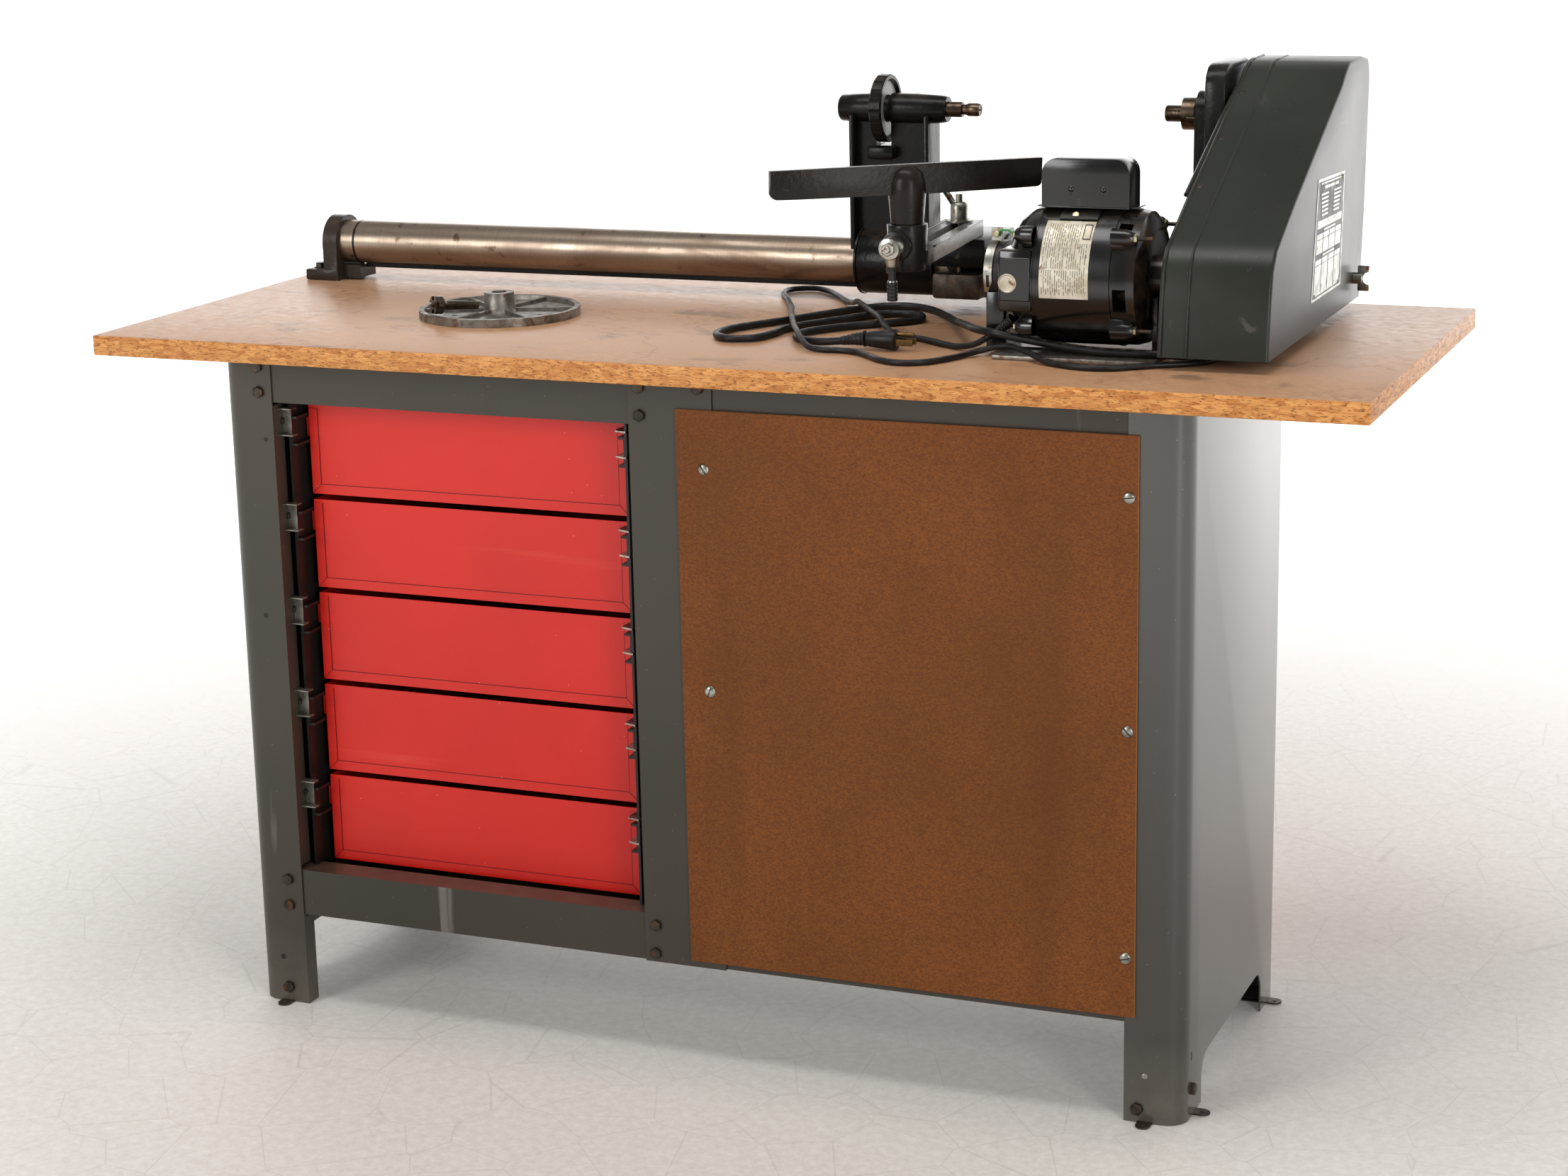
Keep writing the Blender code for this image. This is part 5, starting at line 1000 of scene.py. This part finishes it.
def motor_details():
    motor_nameplate()
    place = aim((0.3382, low("motor_bell_left").y - 0.0007, 0.9319), NEAR)
    plug = Shape().turned([(0.0104, 0), (0.0104, 0.0012), (0.0096, 0.0018), (0.009, 0.0012), (0.0084, 0.0006),
                           (0, 0.0005)], place, 36)
    plug.piece("terminal_plug", "label", "frame")
    face = low("motor_bell_left").y
    lid = Shape().block((0.3288, face - 0.0008, 0.912), (0.3636, face + 0.002, 0.96))
    lid.piece("terminal_lid", "motor", "frame", 0.0015)
    ears = Shape()
    nuts = Shape()
    studs = Shape()
    for side, upright in ((-1, 1), (-1, -1), (1, 1), (1, -1)):
        y = MOTOR.y + side * 0.061
        z = MOTOR.z + upright * 0.05
        lean = Vector((0, -side, -upright)).normalized() * 0.006
        for start, heading, length in ((0.452, 1, 0.0245), (0.364, -1, 0.02)):
            profile = [(0.0105, 0), (0.01, length * 0.6), (0.0078, length * 0.92), (0.0064, length)]
            ears.turned(profile, aim((start, y, z), (heading, 0, 0)), 24)
            ears.turned([(0.013, 0), (0.012, length * 0.5), (0.006, length * 0.85)], aim(
                Vector((start, y, z)) + lean, (heading, 0, 0)), 24)
        nuts.bolt((0.4765, y, z), RIGHT, 0.0088, 0.0034, turn=side)
        nuts.bolt((0.344, y, z), (-1, 0, 0), 0.008, 0.003)
        long_end = 0.023 if (side, upright) == (1, 1) else 0.017
        studs.turned([(0.0023, 0), (0.0023, long_end), (0.0018, long_end + 0.0006)], aim(
            (0.4795, y, z), RIGHT), 16)
    ears.piece("bell_ears", "motor", "frame")
    nuts.piece("through_bolt_nuts", "nut", "frame")
    studs.piece("through_bolts", "black_bolt", "frame")
    seams = Shape()
    for x in (0.3652, 0.4513):
        seams.turned([(MOTOR_R - 0.001, -0.0014), (MOTOR_R + 0.0005, -0.0008), (MOTOR_R + 0.0005, 0.0008),
                      (MOTOR_R - 0.001, 0.0014)], along_x(x, MOTOR), 72, loop=True)
    seams.piece("shell_beads", "motor", "frame")
    capacitor_details()
    strap_and_wire()


def capacitor_details():
    """The saddle under the capacitor cover with its screw, the cover's turned-out foot and its dimples."""
    near = low("capacitor_cover").y
    first = low("capacitor_cover")
    last = high("capacitor_cover")
    saddle = curved_patch(Shape(), 0.387, 0.43, 84, 122, 0.0001, 0.0026, 12)
    saddle.piece("capacitor_saddle", "motor", "frame")
    bumps = Shape()
    for x in (0.396, 0.432):
        bumps.dome((x, near + 0.0006, 1.03), NEAR, 0.0034, 0.0022, 20)
        bumps.dome((x, near + 0.0006, 1.0255), NEAR, 0.0022, 0.0012, 16)
    bumps.turned([(0.0032, 0), (0.0036, 0.01), (0, 0.011)], aim((0.404, near + 0.0026, 1.011), UP), 18)
    bumps.piece("cover_dimples", "motor", "frame")
    foot = Shape()
    for x0, x1 in ((first.x - 0.006, first.x + 0.011), (last.x - 0.011, last.x + 0.008)):
        foot.block((x0, near + 0.006, first.z), (x1, last.y - 0.006, first.z + 0.0014))
    foot.block((first.x + 0.004, near - 0.0022, first.z), (last.x - 0.004, near + 0.001, first.z + 0.0014))
    foot.piece("capacitor_foot", "motor", "frame", 0.0005)
    Shape().bolt((0.4035, near - 0.004, 1.001), (0, -0.8, 0.6), 0.0074, 0.003, washer=0.0046).piece(
        "capacitor_screw", "nut", "frame")


def strap_and_wire():
    """The zinc strap round the left ring with its slot, drawn as painted shade, its lug and screw, and the green
    earth wire.
    """
    band = Shape()
    rows = []
    for k in range(29):
        a = math.radians(100 + 112 * k / 28)
        wide = 0.01 if k < 24 else 0.01 - 0.0012 * (k - 23)
        rows.append([(0.2976 + x, MOTOR.y + radius * math.cos(a), MOTOR.z + radius * math.sin(a))
                     for radius, x in ((0.0353, 0.0), (0.0365, 0.0), (0.0365, wide), (0.0353, wide))])
    band.loft(rows)
    band.block((0.2985, MOTOR.y - 0.0085, MOTOR.z + 0.034), (0.3115, MOTOR.y - 0.0071, MOTOR.z + 0.05))
    band.piece("motor_strap", "zinc", "frame", 0.0003)
    # slot: dark patches on the strap, painted shade in place of its slot.
    painted_slot_shade = Shape()
    for angle in range(181, 200, 3):
        a = math.radians(angle)
        place = aim((0.3026, MOTOR.y + 0.0364 * math.cos(a), MOTOR.z + 0.0364 * math.sin(a)),
                    (0, math.cos(a), math.sin(a)))
        painted_slot_shade.block((-0.0011, -0.0016, 0.0), (0.0011, 0.0016, 0.0003), place)
    painted_slot_shade.piece("strap_slot_shade", "dark", "frame")
    screw = Shape().bolt((0.3048, MOTOR.y - 0.0085, MOTOR.z + 0.043), NEAR, 0.0072, 0.003, washer=0.0045)
    screw.piece("strap_screw", "nut", "frame")
    wire("earth_wire", [(0.308, -0.117, 0.9745), (0.312, -0.123, 0.98), (0.318, -0.126, 0.982),
                        (0.326, -0.127, 0.98), (0.331, -0.128, 0.972)], 0.0011, "green", "frame")


def tail_details():
    """The tailstock's clamp bolt, the rims round its bed holes and the rings on the handwheel's hub."""
    bolts = Shape()
    bolts.bolt((0.085, BED.y - 0.0395, BED.z - 0.004), NEAR, 0.012, 0.005, washer=0.008)
    bolts.piece("tail_bolts", "black_bolt", "tail_body")
    rims = Shape()
    for x in (low("tailstock").x + 0.0275, low("tailstock").x + 0.1265):
        rims.turned([(0.0396, -0.0012), (0.0408, -0.0006), (0.0408, 0.0016), (0.0396, 0.0022)],
                    along_x(x, BED), 56, loop=True)
    rims.piece("tail_rims", "casting", "tail_body")
    hub = Shape()
    x = middle("handwheel").x
    for side in (-1, 1):
        hub.turned([(0.0101, 0.007), (0.013, 0.007), (0.0122, 0.009), (0.0101, 0.009)],
                   along_x(x, SPINDLE, side), 28, loop=True)
    hub.piece("wheel_hub_rings", "wheel", "wheel_body")


def rest_details():
    grip = Shape()
    profile = [(0.0054, 0.0)]
    for ring in range(5):
        z = 0.0012 + ring * 0.0041
        profile += [(0.0059, z), (0.0061, z + 0.0012), (0.0059, z + 0.0026), (0.0056, z + 0.0031)]
    profile += [(0.005, 0.0228), (0.0041, 0.0236), (0.004, 0.037), (0.0046, 0.0385), (0, 0.0386)]
    place = Matrix.Translation((LEVER_X, -0.1603, low("rest_lever").z - 0.0002))
    grip.turned(profile, place, 24)
    grip.piece("lever_grip", "grip", "rest_lever_body")
    screw = Shape()
    face = low("rest_lever").y
    screw.bolt((LEVER_X, face, LEVER_HUB_Z), NEAR, 0.0135, 0.0042)
    screw.turned([(0.0036, 0), (0.0036, 0.0016), (0.003, 0.0022)], aim(
        (LEVER_X, face - 0.0042, LEVER_HUB_Z), NEAR), 20)
    screw.piece("lever_screw", "zinc", "rest_lever_body")
    washers = Shape()
    washers.turned([(0.0048, 0), (0.015, 0), (0.015, 0.0004), (0.0048, 0.0004)], Matrix.Translation(
        (STUD.x, STUD.y, low("rest_nut").z + 0.002)), 32, loop=True)
    washers.piece("stud_washer", "zinc", "stud_body")
    ribs = Shape()
    heading = Vector((0.07759, -0.99699, 0.0))
    across = Vector((0.99699, 0.07759, 0.0))
    start = Vector((STUD.x, STUD.y, ARM_TOP_Z)) - heading * 0.029
    for side in (-1, 1):
        turn = Matrix((across, heading, Vector((0, 0, -1)))).transposed().to_4x4()
        place = Matrix.Translation(start + across * side * 0.0218) @ turn
        ribs.block((-0.002, 0.006, -0.0016), (0.002, 0.226, 0.0006), place)
    ribs.piece("arm_ribs", "arm", "arm_body", 0.0006)


# Cords
def smooth_route(route, spacing):
    """Evenly spaced points along a smooth curve through the route's points."""
    points = [Vector(p) for p in route]
    padded = [points[0] * 2 - points[1], *points, points[-1] * 2 - points[-2]]
    fine = []
    for i in range(1, len(padded) - 2):
        before, a, b, after = padded[i - 1:i + 3]
        for step in range(12):
            t = step / 12
            fine.append(0.5 * ((2 * a) + (b - before) * t + (2 * before - 5 * a + 4 * b - after) * t * t
                               + (3 * a - before - 3 * b + after) * t ** 3))
    fine.append(points[-1])
    total = sum((q - p).length for p, q in zip(fine, fine[1:]))
    count = round(total / spacing)
    kept = [fine[0]]
    gone = 0.0
    for p, q in zip(fine, fine[1:]):
        length = (q - p).length
        while gone + length >= total / count * len(kept) - 1e-9 and len(kept) < count:
            kept.append(p.lerp(q, (total / count * len(kept) - gone) / length))
        gone += length
    kept.append(fine[-1])
    return kept


def free_cord(name, route, radius, node):
    points = smooth_route(route, 0.006)
    curve = bpy.data.curves.new(name, "CURVE")
    curve.dimensions = "3D"
    curve.bevel_depth = radius
    curve.bevel_resolution = 4
    curve.use_fill_caps = True
    spline = curve.splines.new("POLY")
    spline.points.add(len(points) - 1)
    for point, place in zip(spline.points, points):
        point.co = (*place, 1)
    made = finished(bpy.data.objects.new(name, curve), "rubber", "frame")
    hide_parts(node)
    return points


def relief(name, points, radius, length, ribs=7, thick=2.0):
    """A tapered rubber sleeve along the start of a cord, with a collar and ribs cut round it."""
    sides = 20
    steps = ribs * 4
    rows = []
    travelled = 0.0
    track = [points[0]]
    for p, q in zip(points, points[1:]):
        travelled += (q - p).length
        track.append(q)
        if travelled >= length:
            break

    def along(t):
        whole = sum((q - p).length for p, q in zip(track, track[1:])) * t
        for p, q in zip(track, track[1:]):
            part = (q - p).length
            if whole <= part or q is track[-1]:
                return p.lerp(q, min(whole / part, 1.0)), (q - p).normalized()
            whole -= part

    for k in range(steps + 1):
        t = k / steps
        at, heading = along(t)
        size = radius * (thick + (1.12 - thick) * t) * (0.86 if k % 4 == 3 and k < steps else 1.0)
        if k < 2:
            size = radius * (thick + 0.25)
        place = aim(at, heading)
        turns = [2 * math.pi * i / sides for i in range(sides)]
        rows.append([place @ Vector((size * math.cos(a), size * math.sin(a), 0)) for a in turns])
    Shape().loft(rows).piece(name, "grip", "frame")


def cords():
    supply = free_cord("supply_lead", SUPPLY_ROUTE, CORD_RADIUS, "supply_cord")
    lead = free_cord("motor_lead", LEAD_ROUTE, LEAD_RADIUS, "motor_cord")
    relief("supply_relief", supply, CORD_RADIUS, 0.03)
    relief("plug_relief", supply[::-1], CORD_RADIUS, 0.026, 6, 1.8)
    relief("terminal_relief", lead, LEAD_RADIUS, 0.024, 6, 2.0)
    relief("lead_relief", lead[::-1], LEAD_RADIUS, 0.022, 6, 1.8)
    plug_details()


def plug_details():
    """The plug's moulded collar, its brass blades and its earth pin."""
    box_low = low("cord_plug")
    box_high = high("cord_plug")
    middle_y = (box_low.y + box_high.y) / 2
    face = PLUG_START + PLUG_LENGTH
    rim = Shape()
    z = PLUG_Z
    rim.turned([(0.0104, -0.003), (0.0118, -0.0024), (0.012, 0.0), (0.0116, 0.0016), (0.01, 0.0016)], aim(
        (face - 0.003, middle_y, z), RIGHT), 36, loop=True)
    rim.piece("plug_rim", "grip", "frame")
    pins = Shape()
    for side in (-1, 1):
        pins.block((face - 0.0005, middle_y + side * 0.0062 - 0.0011, z - 0.0053), (
            box_high.x + 0.0002, middle_y + side * 0.0062 + 0.0011, z + 0.0018))
    pins.turned([(0.0024, 0), (0.0024, 0.0195), (0.0016, 0.0208)], aim(
        (face - 0.0005, middle_y, z + 0.007), RIGHT), 18)
    pins.piece("plug_blades", "brass", "frame", 0.0002)


# Everything together
def build():
    camera()
    cords()
    dress_nodes()
    studio_floor()
    sky()
    lamps()
    bench_details()
    bed_details()
    spindle_details()
    guard_details()
    motor_details()
    tail_details()
    rest_details()


build()
